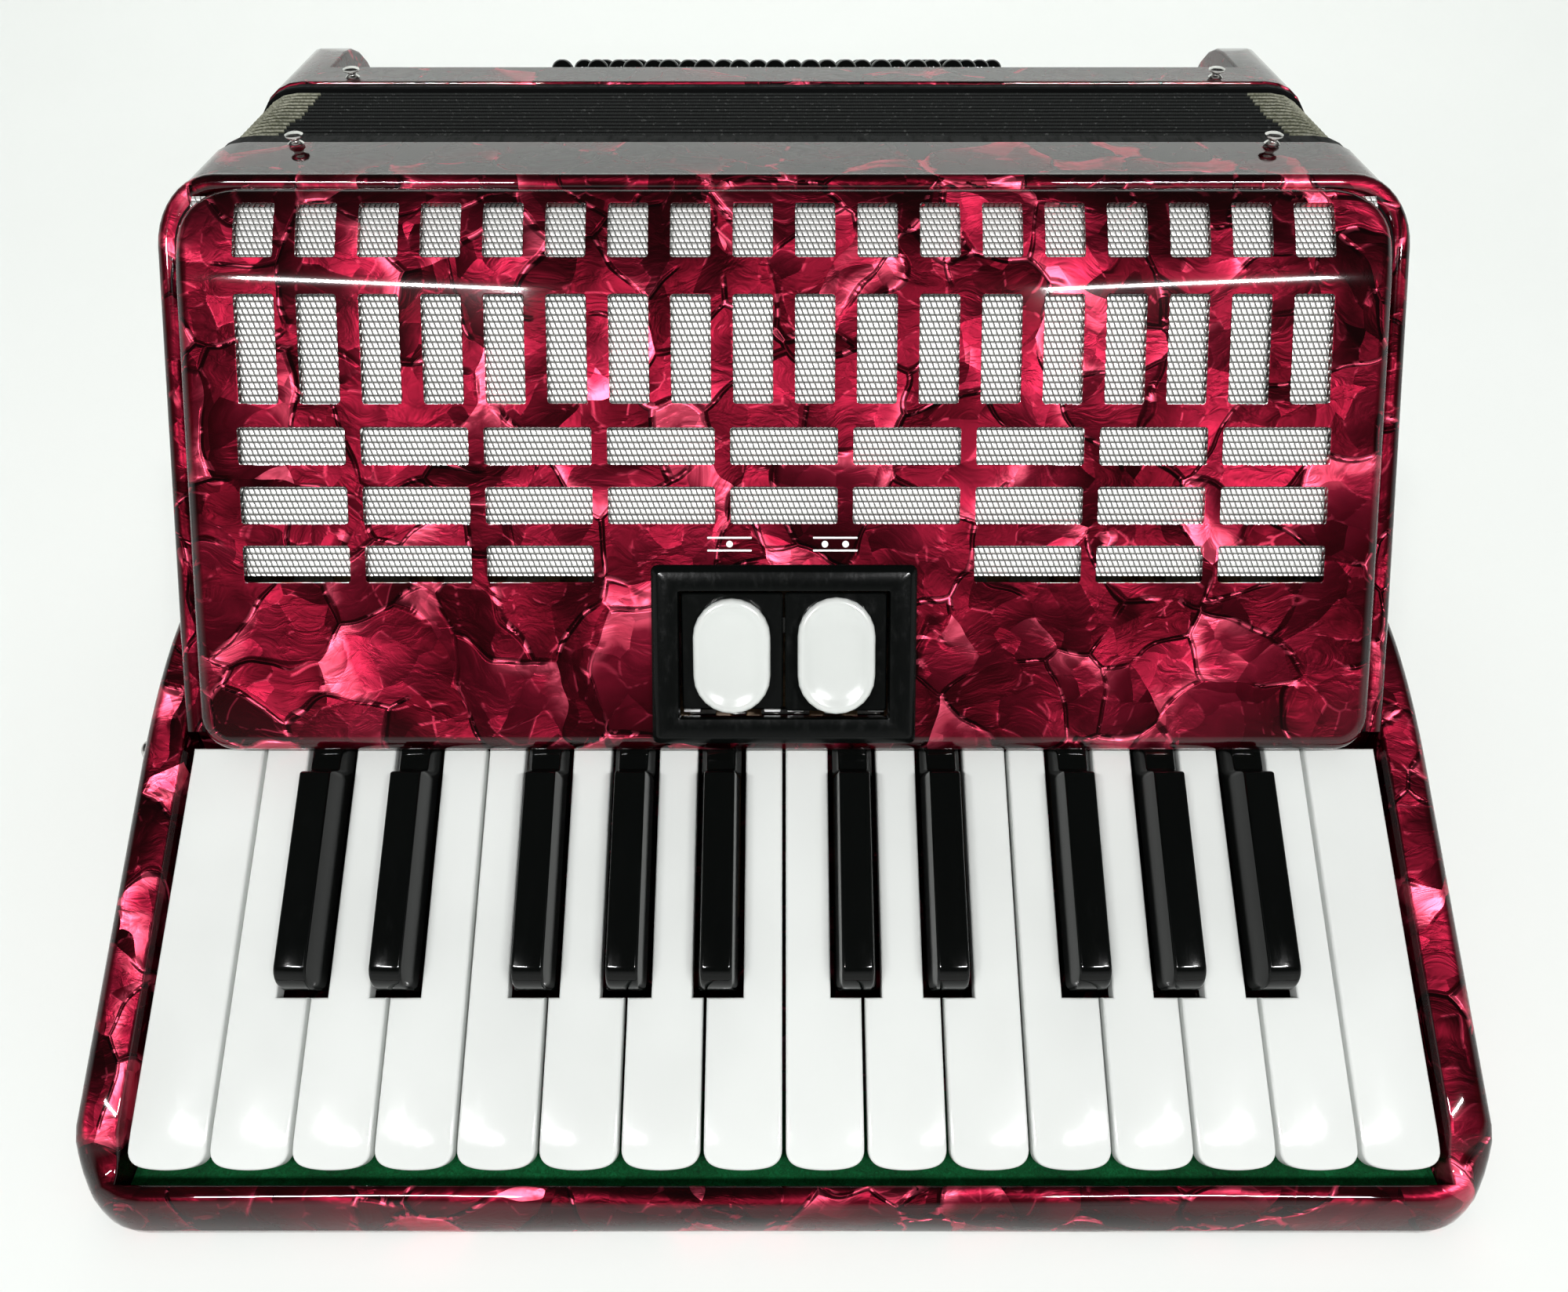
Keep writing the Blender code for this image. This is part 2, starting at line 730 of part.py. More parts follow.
def cover_outline(inset):
    """The cover's cross-section along the face and behind it, from the front edge over the bend."""
    bend = FACE_LENGTH
    radius = BEND_RADIUS - inset
    steps = 6
    points = [(0.0, inset), (bend, inset)]
    for k in range(1, steps + 1):
        turn = BEND_ANGLE * k / steps
        points.append(
            (bend + radius * math.sin(turn), BEND_RADIUS - radius * math.cos(turn))
        )
    return points


def on_bend(x, s, n):
    """A point s beyond the bend along the cover's surface and n behind that surface."""
    turn = s / BEND_RADIUS
    radius = BEND_RADIUS - n
    return on_face(x, FACE_LENGTH + radius * math.sin(turn), BEND_RADIUS - radius * math.cos(turn))


def cover_outer():
    """The cover as a solid block: its face, its bend and the plane where it meets the casing."""
    face = cover_outline(0)
    outline = [*face, (face[-1][0] + COVER_LIP, COVER_DEPTH), (COVER_TOE, COVER_DEPTH)]
    return prism(
        "grille_cover", outline, along_face, -COVER_HALF_WIDTH, COVER_HALF_WIDTH, "pearl_red"
    )


def cover_hollow():
    """What the cover encloses, open to the casing and to the keys."""
    face = cover_outline(COVER_SHELL)
    back = COVER_DEPTH + OVERRUN
    last = (face[-1][0] + COVER_LIP, back)
    outline = [(-COVER_DEPTH, COVER_SHELL), *face[1:], last, (-COVER_DEPTH, back)]
    half = COVER_HALF_WIDTH - COVER_SHELL
    return prism("hollow", outline, along_face, -half, half)


def bar_windows():
    """(x0, x1, p0, p1) of the three rows of wide windows. The lowest row leaves room for the switches."""
    columns = WINDOW_COLUMNS // 2
    for row in range(3):
        low = LOWEST_BAR + row * BAR_PITCH
        for column in range(columns):
            if row == 0 and 3 <= column < columns - 3:
                continue
            x = (column - (columns - 1) / 2) * 2 * WINDOW_PITCH
            yield x - WIDE_WINDOW / 2, x + WIDE_WINDOW / 2, low, low + BAR_HEIGHT


def grille_cover():
    cover = cover_outer()
    key_clear = prism(
        "key_clear",
        rectangle(-COVER_HALF_WIDTH - 5, COVER_HALF_WIDTH + 5, 60, 130),
        on_keys,
        -30,
        1.5,
    )
    hollow = cover_hollow()
    holes = [
        prism("window", rectangle(*window), on_face, -3, COVER_SHELL + 3) for window in bar_windows()
    ]
    for column in range(WINDOW_COLUMNS):
        x = (column - (WINDOW_COLUMNS - 1) / 2) * WINDOW_PITCH
        span = (x - WINDOW_WIDTH / 2, x + WINDOW_WIDTH / 2)
        tall = rectangle(*span, TALL_START, TALL_START + TALL_HEIGHT)
        holes.append(prism("window", tall, on_face, -3, COVER_SHELL + 3))
        short = rectangle(*span, TOP_WINDOW_START, TOP_WINDOW_START + TOP_WINDOW)
        holes.append(prism("window", short, on_bend, -3, COVER_SHELL + 3))
    opening = prism(
        "opening",
        rectangle(
            -BEZEL_OPEN_WIDTH / 2,
            BEZEL_OPEN_WIDTH / 2,
            BEZEL_START + (BEZEL_HEIGHT - BEZEL_OPEN_HEIGHT) / 2,
            BEZEL_START + (BEZEL_HEIGHT + BEZEL_OPEN_HEIGHT) / 2,
        ),
        on_face,
        -3,
        COVER_SHELL + 3,
    )
    cut(cover, hollow, key_clear, opening)
    return cut(cover, *holes)


def grille_mesh():
    """Woven metal cloth behind the windows, following the bend."""
    half = COVER_HALF_WIDTH - COVER_SHELL - 1.5
    front = COVER_SHELL + GAP
    low = BEZEL_START + BEZEL_HEIGHT - 3
    outer = [(low, front), (FACE_LENGTH, front)]
    inner = [(low, front + MESH_THICK), (FACE_LENGTH, front + MESH_THICK)]
    for k in range(1, 5):
        turn = BEND_ANGLE * 0.93 * k / 4
        for points, depth in ((outer, front), (inner, front + MESH_THICK)):
            radius = BEND_RADIUS - depth
            points.append(
                (FACE_LENGTH + radius * math.sin(turn), BEND_RADIUS - radius * math.cos(turn))
            )
    prism(
        "grille_mesh",
        outer + inner[::-1],
        along_face,
        -half,
        half,
        "metal_cloth",
    )


def registers():
    low = BEZEL_START + (BEZEL_HEIGHT - BEZEL_OPEN_HEIGHT) / 2
    high = low + BEZEL_OPEN_HEIGHT
    bezel = prism(
        "register_bezel",
        rectangle(-BEZEL_WIDTH / 2, BEZEL_WIDTH / 2, BEZEL_START, BEZEL_START + BEZEL_HEIGHT),
        on_face,
        -BEZEL_PROUD,
        -GAP,
        "black_plastic",
    )
    cut(
        bezel,
        prism(
            "opening",
            rectangle(-BEZEL_OPEN_WIDTH / 2, BEZEL_OPEN_WIDTH / 2, low, high),
            on_face,
            -BEZEL_PROUD - 2,
            2,
        ),
    )
    for side, sign in (("left", -1), ("right", 1)):
        inner, outer = sign * RUNNING / 2, sign * (BEZEL_OPEN_WIDTH / 2 - RUNNING)
        plate = prism(
            f"register_switch_{side}",
            rectangle(min(inner, outer), max(inner, outer), low + RUNNING, high - RUNNING),
            on_face,
            -1.0,
            -1.0 + SWITCH_THICK,
            "black_plastic",
        )
        middle_x, middle_p = (inner + outer) / 2, (low + high) / 2
        round_end = CAP_WIDTH / 2
        straight = CAP_LENGTH / 2 - round_end
        outline = arc(middle_x, middle_p + straight, round_end, 0, 180, 10)
        outline += arc(middle_x, middle_p - straight, round_end, 180, 360, 10)
        cap = prism(
            f"register_cap_{side}", outline, on_face, -1.0 - GAP - CAP_THICK, -1.0 - GAP, "key_white"
        )
        for piece in (plate, cap):
            moving(piece, on_face(0, high - HINGE_FROM_TOP, 0))
            if side == PRESSED_SIDE:
                piece.rotation_euler.x = math.radians(SWITCH_THROW_DEGREES)


# Bellows


def ring_frame(name, start, end, inset, wall, colour):
    frame = prism(name, case_section(inset), along, start, end, colour)
    return cut(frame, prism("inside", case_section(inset + wall), along, start - 2, end + 2))


def bellows():
    """The folded card tube, closed: fold tips and valleys outside, and a plain way through."""
    pitch = BELLOWS_CLOSED / FOLDS
    rings = []
    for k in range(2 * FOLDS + 1):
        inset = FOLD_INSET + (FOLD_DEPTH if k % 2 == 0 else 0)
        y = BELLOWS_START + pitch * k / 2
        rings.append([along(x, z, y) for x, z in case_section(inset)])
    tube = lofted("bellows", rings, "bellows_card")
    inside = prism(
        "inside", case_section(BELLOWS_WALL), along, BELLOWS_START - 2, BELLOWS_END + 2
    )
    return cut(tube, inside)


def pin(name, x, y):
    """A small spool-shaped pin that stands in the top of a casing."""
    profile = [
        (PIN_RADIUS, 0),
        (PIN_RADIUS, 0.6),
        (PIN_RADIUS * 0.5, PIN_HEIGHT * 0.45),
        (PIN_RADIUS * 0.55, PIN_HEIGHT * 0.6),
        (PIN_RADIUS, PIN_HEIGHT - 0.9),
        (PIN_RADIUS * 0.7, PIN_HEIGHT),
    ]
    turned(name, profile, along(x, CASE_TOP + GAP, y), (0, 0, 1), 12, "chrome")


# Bass side


def bass_casing():
    casing = prism("bass_casing", case_section(0), along, BASS_START, BASS_END, "pearl_red")
    side = [(BASS_START, -5), (BASS_END, -5)]
    side += arc(BASS_END - CHEEK_ROUND, CASE_TOP - CHEEK_ROUND, CHEEK_ROUND, 0, 90, 6)
    side += [(BASS_START, CASE_TOP)]
    keep_inside(casing, prism("side", side, across, -CASE_HALF_WIDTH - 5, CASE_HALF_WIDTH + 5))
    ceiling = CASE_TOP - BASS_CEILING
    low = prism(
        "low_hollow",
        rectangle(BASS_START - 5, BASS_END + 5, CASE_FLOOR, ceiling),
        across,
        -INSIDE_HALF,
        INSIDE_HALF,
    )
    high = prism(
        "high_hollow",
        rectangle(BASS_START - 5, BASS_START + BASS_TOP_DEPTH - 4, ceiling - 1, CASE_TOP - CASE_WALL),
        across,
        -CHEEK_INNER + 3,
        CHEEK_INNER - 3,
    )
    edge = BASS_START + BASS_TOP_DEPTH
    length = BASS_END - edge + 5
    shelf = [
        (edge, CASE_TOP + 5),
        (edge, board_yz(0, -BOARD_THICK - GAP)[1]),
        board_yz(length, -BOARD_THICK - GAP),
        (board_yz(length, 0)[0], CASE_TOP + 5),
    ]
    recess = prism("recess", shelf, across, -CHEEK_INNER, CHEEK_INNER)
    reach = BUTTON_COLUMNS * BUTTON_PITCH / 2 + BUTTON_SHIFT * 2
    stems = prism(
        "stem_room",
        rectangle(edge - 5, BASS_END - CASE_WALL, ceiling - 1, CASE_TOP - BOARD_DROP),
        across,
        -reach,
        reach,
    )
    return cut(casing, low, high, recess, stems)


def bass_reed_block():
    half = INSIDE_HALF - 25
    section = rectangle(
        BASS_START + BASS_BLOCK_START, BASS_START + BASS_BLOCK_END, CASE_FLOOR + 8, CASE_TOP - 60
    )
    prism("bass_reed_block", section, across, -half, half, "reed_wood")


def button_places():
    """(row, x, s) of every bass button, with x along the casing and s down the plate."""
    for row in range(BUTTON_ROWS):
        for column in range(BUTTON_COLUMNS):
            x = (column - (BUTTON_COLUMNS - 1) / 2) * BUTTON_PITCH
            x += (row - (BUTTON_ROWS - 1) / 2) * BUTTON_SHIFT
            yield row, x, FIRST_ROW + row * BUTTON_ROW_PITCH


def polygon(x, s, radius, sides):
    return arc(x, s, radius, 180 / sides, 180 / sides + 360 - 360 / sides, sides - 1)


def button_plate():
    length = (BASS_END - BASS_START - BASS_TOP_DEPTH - 2 * GAP) / math.cos(BOARD_SLOPE) - 1.0
    half = CHEEK_INNER - GAP
    plate = prism(
        "bass_button_plate", rectangle(-half, half, 0.6, length), on_board, -BOARD_THICK, 0, "black_plastic"
    )
    holes = [
        prism(
            "hole", polygon(x, s, BUTTON_RADIUS + RUNNING, BUTTON_SIDES), on_board, -BOARD_THICK - 2, 2
        )
        for _, x, s in button_places()
    ]
    return cut(plate, *holes)


def button_row(row):
    """Twelve domed buttons on one carrier under the plate."""
    places = [(x, s) for number, x, s in button_places() if number == row]
    first, last = places[0][0], places[-1][0]
    s = places[0][1]
    carrier = prism(
        f"bass_buttons_row_{row + 1}",
        rectangle(first - 5, last + 5, s - CARRIER_HALF_WIDTH, s + CARRIER_HALF_WIDTH),
        on_board,
        -BOARD_THICK - RUNNING - CARRIER,
        -BOARD_THICK - RUNNING,
        "key_black",
    )
    normal = (0, math.sin(BOARD_SLOPE), math.cos(BOARD_SLOPE))
    profile = [
        (BUTTON_RADIUS, -BOARD_THICK - RUNNING - 1.0),
        (BUTTON_RADIUS, BUTTON_PROUD - 1.8),
        (BUTTON_RADIUS * 0.8, BUTTON_PROUD - 0.6),
        (BUTTON_RADIUS * 0.4, BUTTON_PROUD),
    ]
    stems = [
        turned("button", profile, on_board(x, s, 0), normal, BUTTON_SIDES, "key_black") for x, s in places
    ]
    join(carrier, *stems)
    return moving(carrier, on_board(0, s, 0))


def bass_end():
    """The end plate, the wrist strap with its adjusting wheel, and the air button."""
    start = BASS_END + GAP
    top = CASE_TOP - END_PLATE_DROP
    outline = [(x, min(z, top)) for x, z in case_section(1.5)]
    tidy = [point for i, point in enumerate(outline) if point != outline[i - 1]]
    plate = prism("bass_end_plate", tidy, along, start, start + END_PLATE, "black_plastic")
    centre = along(AIR_INSET - CASE_HALF_WIDTH, AIR_HEIGHT, start)
    bore = AIR_RADIUS + RUNNING
    profile = [(bore, -OVERRUN), (bore, END_PLATE + OVERRUN)]
    cut(plate, turned("hole", profile, centre, (0, 1, 0), 12, "chrome"))
    crown = END_PLATE + AIR_PROUD
    stem = [(AIR_RADIUS, -AIR_STEM), (AIR_RADIUS, crown - 1.0), (AIR_RADIUS * 0.7, crown)]
    moving(turned("air_button", stem, centre, (0, 1, 0), 12, "key_black"), centre)
    strap(start + END_PLATE + GAP)
    rim, edge = WHEEL_RADIUS, WHEEL_RADIUS - 1
    wheel = [(edge, 0), (rim, 1), (rim, WHEEL_THICK - 1), (edge, WHEEL_THICK)]
    hub = along(-CASE_HALF_WIDTH - GAP, STRAP_LOW + STRAP_WIDTH / 2, BASS_END - WHEEL_FROM_END)
    moving(turned("strap_wheel", wheel, hub, (-1, 0, 0), 18, "black_plastic"), hub)


def strap(base):
    """A leather band that arches over the end plate and lies flat on it at both ends."""
    steps = 14
    outside, inside = [], []
    for k in range(steps + 1):
        x = STRAP_HALF_LENGTH * (2 * k / steps - 1)
        lift = STRAP_BULGE * max(0.0, math.cos(math.pi / 2 * x / (STRAP_HALF_LENGTH - STRAP_FLAT))) ** 0.8
        if abs(x) > STRAP_HALF_LENGTH - STRAP_FLAT:
            lift = 0.0
        outside.append((x, base + lift + STRAP_THICK))
        inside.append((x, base + lift))
    prism(
        "bass_strap", inside + outside[::-1], upright, STRAP_LOW, STRAP_LOW + STRAP_WIDTH, "strap_leather"
    )


def side_stud():
    y, z = key_yz(KEY_VISIBLE + 4, -6)
    base = across(y, z, -ARM_OUTER - GAP)
    profile = [(2.6, 0), (2.6, 1.2), (1.7, 2.4)]
    turned("frame_stud", profile, base, (-1, 0, 0), 12, "chrome")


def build():
    for obj in list(bpy.data.objects):
        bpy.data.objects.remove(obj)
    keyboard()
    spring_comb()
    key_felt()
    keyboard_frame()
    treble_casing()
    foundation_plate()
    reed_block("treble_reed_block_low", WHITE_PALLET, LOW_BLOCK_DEEP)
    reed_block("treble_reed_block_high", BLACK_PALLET, HIGH_BLOCK_DEEP)
    grille_cover()
    grille_mesh()
    registers()
    ring_frame("treble_bellows_frame", CASE_END + GAP, BELLOWS_START - GAP, 0.5, 14.0, "frame_wood")
    ring_frame("bass_bellows_frame", BELLOWS_END + GAP, BASS_START - GAP, 0.5, 14.0, "frame_wood")
    bellows()
    for side, sign in (("left", -1), ("right", 1)):
        pin(f"treble_pin_{side}", sign * PIN_SPREAD, CASE_END - PIN_RADIUS - 0.6)
        pin(f"bass_pin_{side}", sign * PIN_SPREAD, BASS_START + PIN_RADIUS + 0.6)
    bass_casing()
    button_plate()
    for row in range(BUTTON_ROWS):
        button_row(row)
    bass_end()
    side_stud()
    bass_reed_block()


build()
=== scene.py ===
"""The looks of a 26-key piano accordion that lies on its back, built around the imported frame.

X runs along the keyboard, Y from the keyboard to the bass end and Z up. Sizes are in millimetres and
MM turns them into metres.
"""

import json
import random
from math import asin, atan2, cos, exp, hypot, pi, radians, sin, sqrt, tan

import bmesh
import bpy
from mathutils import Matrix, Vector


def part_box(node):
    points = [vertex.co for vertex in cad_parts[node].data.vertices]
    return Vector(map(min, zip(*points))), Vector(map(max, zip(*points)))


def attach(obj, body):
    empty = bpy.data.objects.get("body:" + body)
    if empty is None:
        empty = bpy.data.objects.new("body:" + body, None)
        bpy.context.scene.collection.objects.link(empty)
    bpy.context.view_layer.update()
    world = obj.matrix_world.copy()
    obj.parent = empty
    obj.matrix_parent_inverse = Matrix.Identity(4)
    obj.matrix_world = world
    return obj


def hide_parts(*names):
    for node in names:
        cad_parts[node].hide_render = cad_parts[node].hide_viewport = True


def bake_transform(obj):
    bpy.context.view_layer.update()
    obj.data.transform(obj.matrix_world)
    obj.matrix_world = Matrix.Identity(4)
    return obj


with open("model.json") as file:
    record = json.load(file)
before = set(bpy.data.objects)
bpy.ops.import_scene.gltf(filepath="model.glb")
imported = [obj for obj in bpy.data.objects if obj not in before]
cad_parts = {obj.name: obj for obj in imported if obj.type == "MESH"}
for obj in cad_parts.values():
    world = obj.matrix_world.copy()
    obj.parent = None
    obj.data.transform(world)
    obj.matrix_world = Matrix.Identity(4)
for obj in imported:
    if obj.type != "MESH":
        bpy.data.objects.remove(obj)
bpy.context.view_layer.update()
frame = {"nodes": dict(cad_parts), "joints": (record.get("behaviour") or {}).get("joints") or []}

MM = 0.001
TREBLE, BASS = "treble_side", "bass_side"
NODES = frame["nodes"]

# The keyboard's and the cover's planes and the casings, as the frame has them
KEY_SLOPE = radians(28.5)
FACE_SLOPE = radians(54.2)
TIP_Y, TIP_HEIGHT = -162.0, 18.5
KEY_PITCH, WHITE_COUNT = 19.5, 16
KEY_VISIBLE, COVER_LIFT = 96.0, 7.5
PIVOT_ALONG, PIVOT_BELOW = 111.0, 7.0
FACE_LENGTH, BEND_RADIUS, BEND_DEGREES = 115.5, 65.0, 24.0
BEND_LENGTH = BEND_RADIUS * radians(BEND_DEGREES)
CASE_TOP, CASE_HALF = 183.5, 157.5
BOARD_SLOPE = radians(16)
PLATE_DEPTH = 26.0


def corners(node):
    """Lowest corner, highest corner and middle of a node, in millimetres."""
    low, high = (Vector(corner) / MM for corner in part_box(node)[:2])
    return low, high, (low + high) / 2


def shares(count):
    return [k / count for k in range(count + 1)]


def quarter(count):
    return [pi / 2 * share for share in shares(count)]


def circle(count):
    return [2 * pi * k / count for k in range(count)]


# Places, in metres, from sizes in millimetres


def point(x, y, z):
    return Vector((x, y, z)) * MM


def on_slope(x, y, z, slope, along, above):
    """A place by its way along a slope that starts at y and z, and its height above it."""
    return point(x, y + along * cos(slope) - above * sin(slope), z + along * sin(slope) + above * cos(slope))


def on_keys(x, u, w):
    """u up the keys from their tips, w above the plane of the white keys."""
    return on_slope(x, TIP_Y, TIP_HEIGHT, KEY_SLOPE, u, w)


def on_face(x, p, q):
    """p up the cover's face from its front edge, q behind the face."""
    edge = on_keys(0, KEY_VISIBLE, COVER_LIFT) / MM
    return on_slope(x, edge.y, edge.z, FACE_SLOPE, p, -q)


def on_cover(x, s, n):
    """s up the cover's surface, which bends back past FACE_LENGTH, and n behind that surface."""
    if s <= FACE_LENGTH:
        return on_face(x, s, n)
    turn = (s - FACE_LENGTH) / BEND_RADIUS
    radius = BEND_RADIUS - n
    return on_face(x, FACE_LENGTH + radius * sin(turn), BEND_RADIUS - radius * cos(turn))


# Node trees


LOOKS = {}


class Tree:
    """A short way to write a procedural material's nodes; the material joins LOOKS."""

    def __init__(self, name):
        self.material = bpy.data.materials.new(name)
        self.material.use_nodes = True
        self.nodes = self.material.node_tree.nodes
        self.links = self.material.node_tree.links
        self.shader = self.nodes["Principled BSDF"]
        self.space = self.node("TexCoord", {})["Object"]
        LOOKS[name] = self.material

    def put(self, socket, value):
        if isinstance(value, bpy.types.NodeSocket):
            self.links.new(value, socket)
        elif value is not None:
            socket.default_value = value

    def node(self, kind, inputs, **settings):
        """Adds a node with its settings and its inputs by name or number, and returns its outputs."""
        node = self.nodes.new(f"ShaderNode{kind}")
        for name, value in settings.items():
            setattr(node, name, value)
        for key, value in inputs.items():
            self.put(node.inputs[key], value)
        return node.outputs

    def set(self, **values):
        for name, value in values.items():
            self.put(self.shader.inputs[name.replace("_", " ")], value)

    def math(self, operation, *values):
        return self.node("Math", dict(enumerate(values)), operation=operation)[0]

    def times(self, a, b, plus=None):
        return self.math("MULTIPLY" if plus is None else "MULTIPLY_ADD", a, b, plus)

    def vector(self, operation, a, b):
        outputs = self.node("VectorMath", {0: a, 1: b}, operation=operation)
        return outputs["Value" if operation == "DOT_PRODUCT" else "Vector"]

    def stretched(self, x, y, z):
        return self.vector("MULTIPLY", self.space, (x, y, z))

    def noise(self, scale, detail=3.0, roughness=0.5, distortion=0.0, at=None):
        inputs = {"Vector": self.space if at is None else at, "Scale": scale, "Detail": detail}
        return self.node("TexNoise", {**inputs, "Roughness": roughness, "Distortion": distortion})[0]

    def voronoi(self, vector, scale, feature="F1"):
        return self.node("TexVoronoi", {"Vector": vector, "Scale": scale}, feature=feature)

    def ramp(self, factor, *stops):
        output = self.node("ValToRGB", {0: factor})[0]
        made = output.node.color_ramp.elements
        while len(made) < len(stops):
            made.new(0.5)
        for element, (place, colour) in zip(made, stops):
            element.position = place
            element.color = (*colour, 1)
        return output

    def mix(self, factor, a, b):
        a, b = (c if isinstance(c, bpy.types.NodeSocket) else (*c, 1) for c in (a, b))
        return self.node("Mix", {0: factor, 6: a, 7: b}, data_type="RGBA")[2]

    def between(self, value, low, high, to_low=0.0, to_high=1.0):
        inputs = dict(enumerate((value, low, high, to_low, to_high)))
        return self.node("MapRange", inputs, interpolation_type="SMOOTHSTEP")[0]

    def bump(self, height, distance, strength=1.0):
        return self.node("Bump", {"Height": height, "Distance": distance, "Strength": strength})[0]

    def split(self, vector):
        return self.node("SeparateXYZ", {0: vector})


def flakes(tree, vector, scale):
    """(height, edge) of one layer of pearl flakes: each has its own slope, and a crease round it. The slope
    tilts the flake's bump, and in the colour it is a painted satin sheen, brighter towards one side.
    """
    cell = tree.voronoi(vector, scale)
    edge = tree.voronoi(vector, scale, "DISTANCE_TO_EDGE")["Distance"]
    lean = tree.vector("SUBTRACT", cell["Color"], (0.5, 0.5, 0.5))
    local = tree.vector("SUBTRACT", vector, cell["Position"])
    slope = tree.vector("DOT_PRODUCT", local, lean)
    # The dot product is in metres, so the cell's size brings it to about -0.5..0.5.
    slope = tree.times(slope, scale * 1.5)
    level = tree.times(tree.split(cell["Color"])[1], 0.35)
    return tree.math("ADD", slope, level), edge


def pearl_material():
    """Dark red pearl celluloid: crumpled satin flakes under a thick, clear, polished skin. The flake pattern
    is the celluloid's own; the satin sheen, highlights and glints on it are partly painted into the colour.
    """
    tree = Tree("pearl_red")
    warp = tree.noise(30.0, 2.0, 0.45).node.outputs["Color"]
    warp = tree.vector("SUBTRACT", warp, (0.5, 0.5, 0.5))
    warp = tree.node("VectorMath", {0: warp, "Scale": 0.024}, operation="SCALE")["Vector"]
    place = tree.vector("ADD", tree.space, warp)
    large, large_edge = flakes(tree, place, 46.0)
    small, small_edge = flakes(tree, place, 105.0)
    silk = tree.noise(110.0, 3.0, 0.55, 1.2, tree.vector("MULTIPLY", place, (1.0, 2.2, 1.6)))
    cloud = tree.noise(16.0, 2.0, 0.5, 0.4)
    form = tree.times(cloud, 0.66, tree.times(small, 0.24, tree.times(large, 0.86)))
    level = tree.times(silk, 0.16, form)
    some = tree.between(tree.noise(60.0, 1.0), 0.40, 0.52)
    crease = tree.times(tree.between(large_edge, 0.004, 0.040, 1.0, 0.0), some)
    # Painted highlight: bright pink streaks near the large flakes' edges, on their brighter side.
    near_edge = tree.between(large_edge, 0.03, 0.20, 1.0, 0.0)
    painted_highlight = tree.times(near_edge, tree.between(large, 0.30, 0.62))
    painted_highlight = tree.times(painted_highlight, tree.between(silk, 0.40, 0.60, 0.25, 1.0))
    # Painted glint: brighter lines along the small flakes' edges.
    fine_edge = tree.between(small_edge, 0.0, 0.05, 1.0, 0.0)
    painted_glint = tree.times(fine_edge, tree.between(silk, 0.53, 0.59))
    # The ramp paints each flake darker on one side and brighter on the other, a painted satin sheen over the
    # celluloid's own dark red.
    colour = tree.ramp(
        level,
        (0.26, (0.020, 0.0005, 0.0018)),
        (0.50, (0.046, 0.0013, 0.0046)),
        (0.74, (0.080, 0.0026, 0.0088)),
        (0.94, (0.150, 0.0062, 0.0185)),
        (1.10, (0.360, 0.0290, 0.0580)),
    )
    colour = tree.mix(tree.times(painted_highlight, 0.8), colour, (0.66, 0.085, 0.145))
    colour = tree.mix(tree.times(painted_glint, 0.28), colour, (0.40, 0.030, 0.065))
    # The creases are dark lines of the pattern; where the silk noise is high they turn bright pink, a painted
    # highlight.
    crease_dark_or_highlight = tree.mix(tree.between(silk, 0.52, 0.58), (0.010, 0.0003, 0.001), (0.55, 0.06, 0.11))
    colour = tree.mix(tree.times(crease, 0.85), colour, crease_dark_or_highlight)
    height = tree.times(crease, -0.08, tree.times(silk, 0.05, form))
    tree.set(
        Base_Color=colour,
        Metallic=0.88,
        Specular_IOR_Level=0.0,
        Specular_Tint=(0.22, 0.012, 0.030, 1.0),
        Roughness=tree.between(silk, 0.3, 0.7, 0.36, 0.46),
        Normal=tree.bump(height, 0.0075, 0.9),
        Coat_Weight=1.0,
        Coat_Roughness=0.03,
        Coat_IOR=1.44,
        Coat_Normal=tree.bump(cloud, 0.0003, 0.1),
    )


def plastic(name, colour, roughness, wear=0.0, coat=0.0, grain=0.00003, shine=0.5):
    """Moulded plastic: faint orange peel, handling marks in the gloss, and a slight drift in colour."""
    tree = Tree(name)
    drift = tree.noise(22.0, 2.0)
    marks = tree.noise(420.0, 4.0, 0.7, at=tree.stretched(1.0, 0.25, 0.6))
    darker = tuple(channel * (0.93 - wear) for channel in colour)
    tree.set(
        Base_Color=tree.mix(tree.between(drift, 0.3, 0.7), darker, colour),
        Roughness=tree.between(marks, 0.45, 0.75, roughness, roughness * 1.5),
        Normal=tree.bump(tree.noise(900.0, 2.0), grain, 0.5),
        Specular_IOR_Level=shine,
        Coat_Weight=coat,
        Coat_Roughness=0.04,
    )


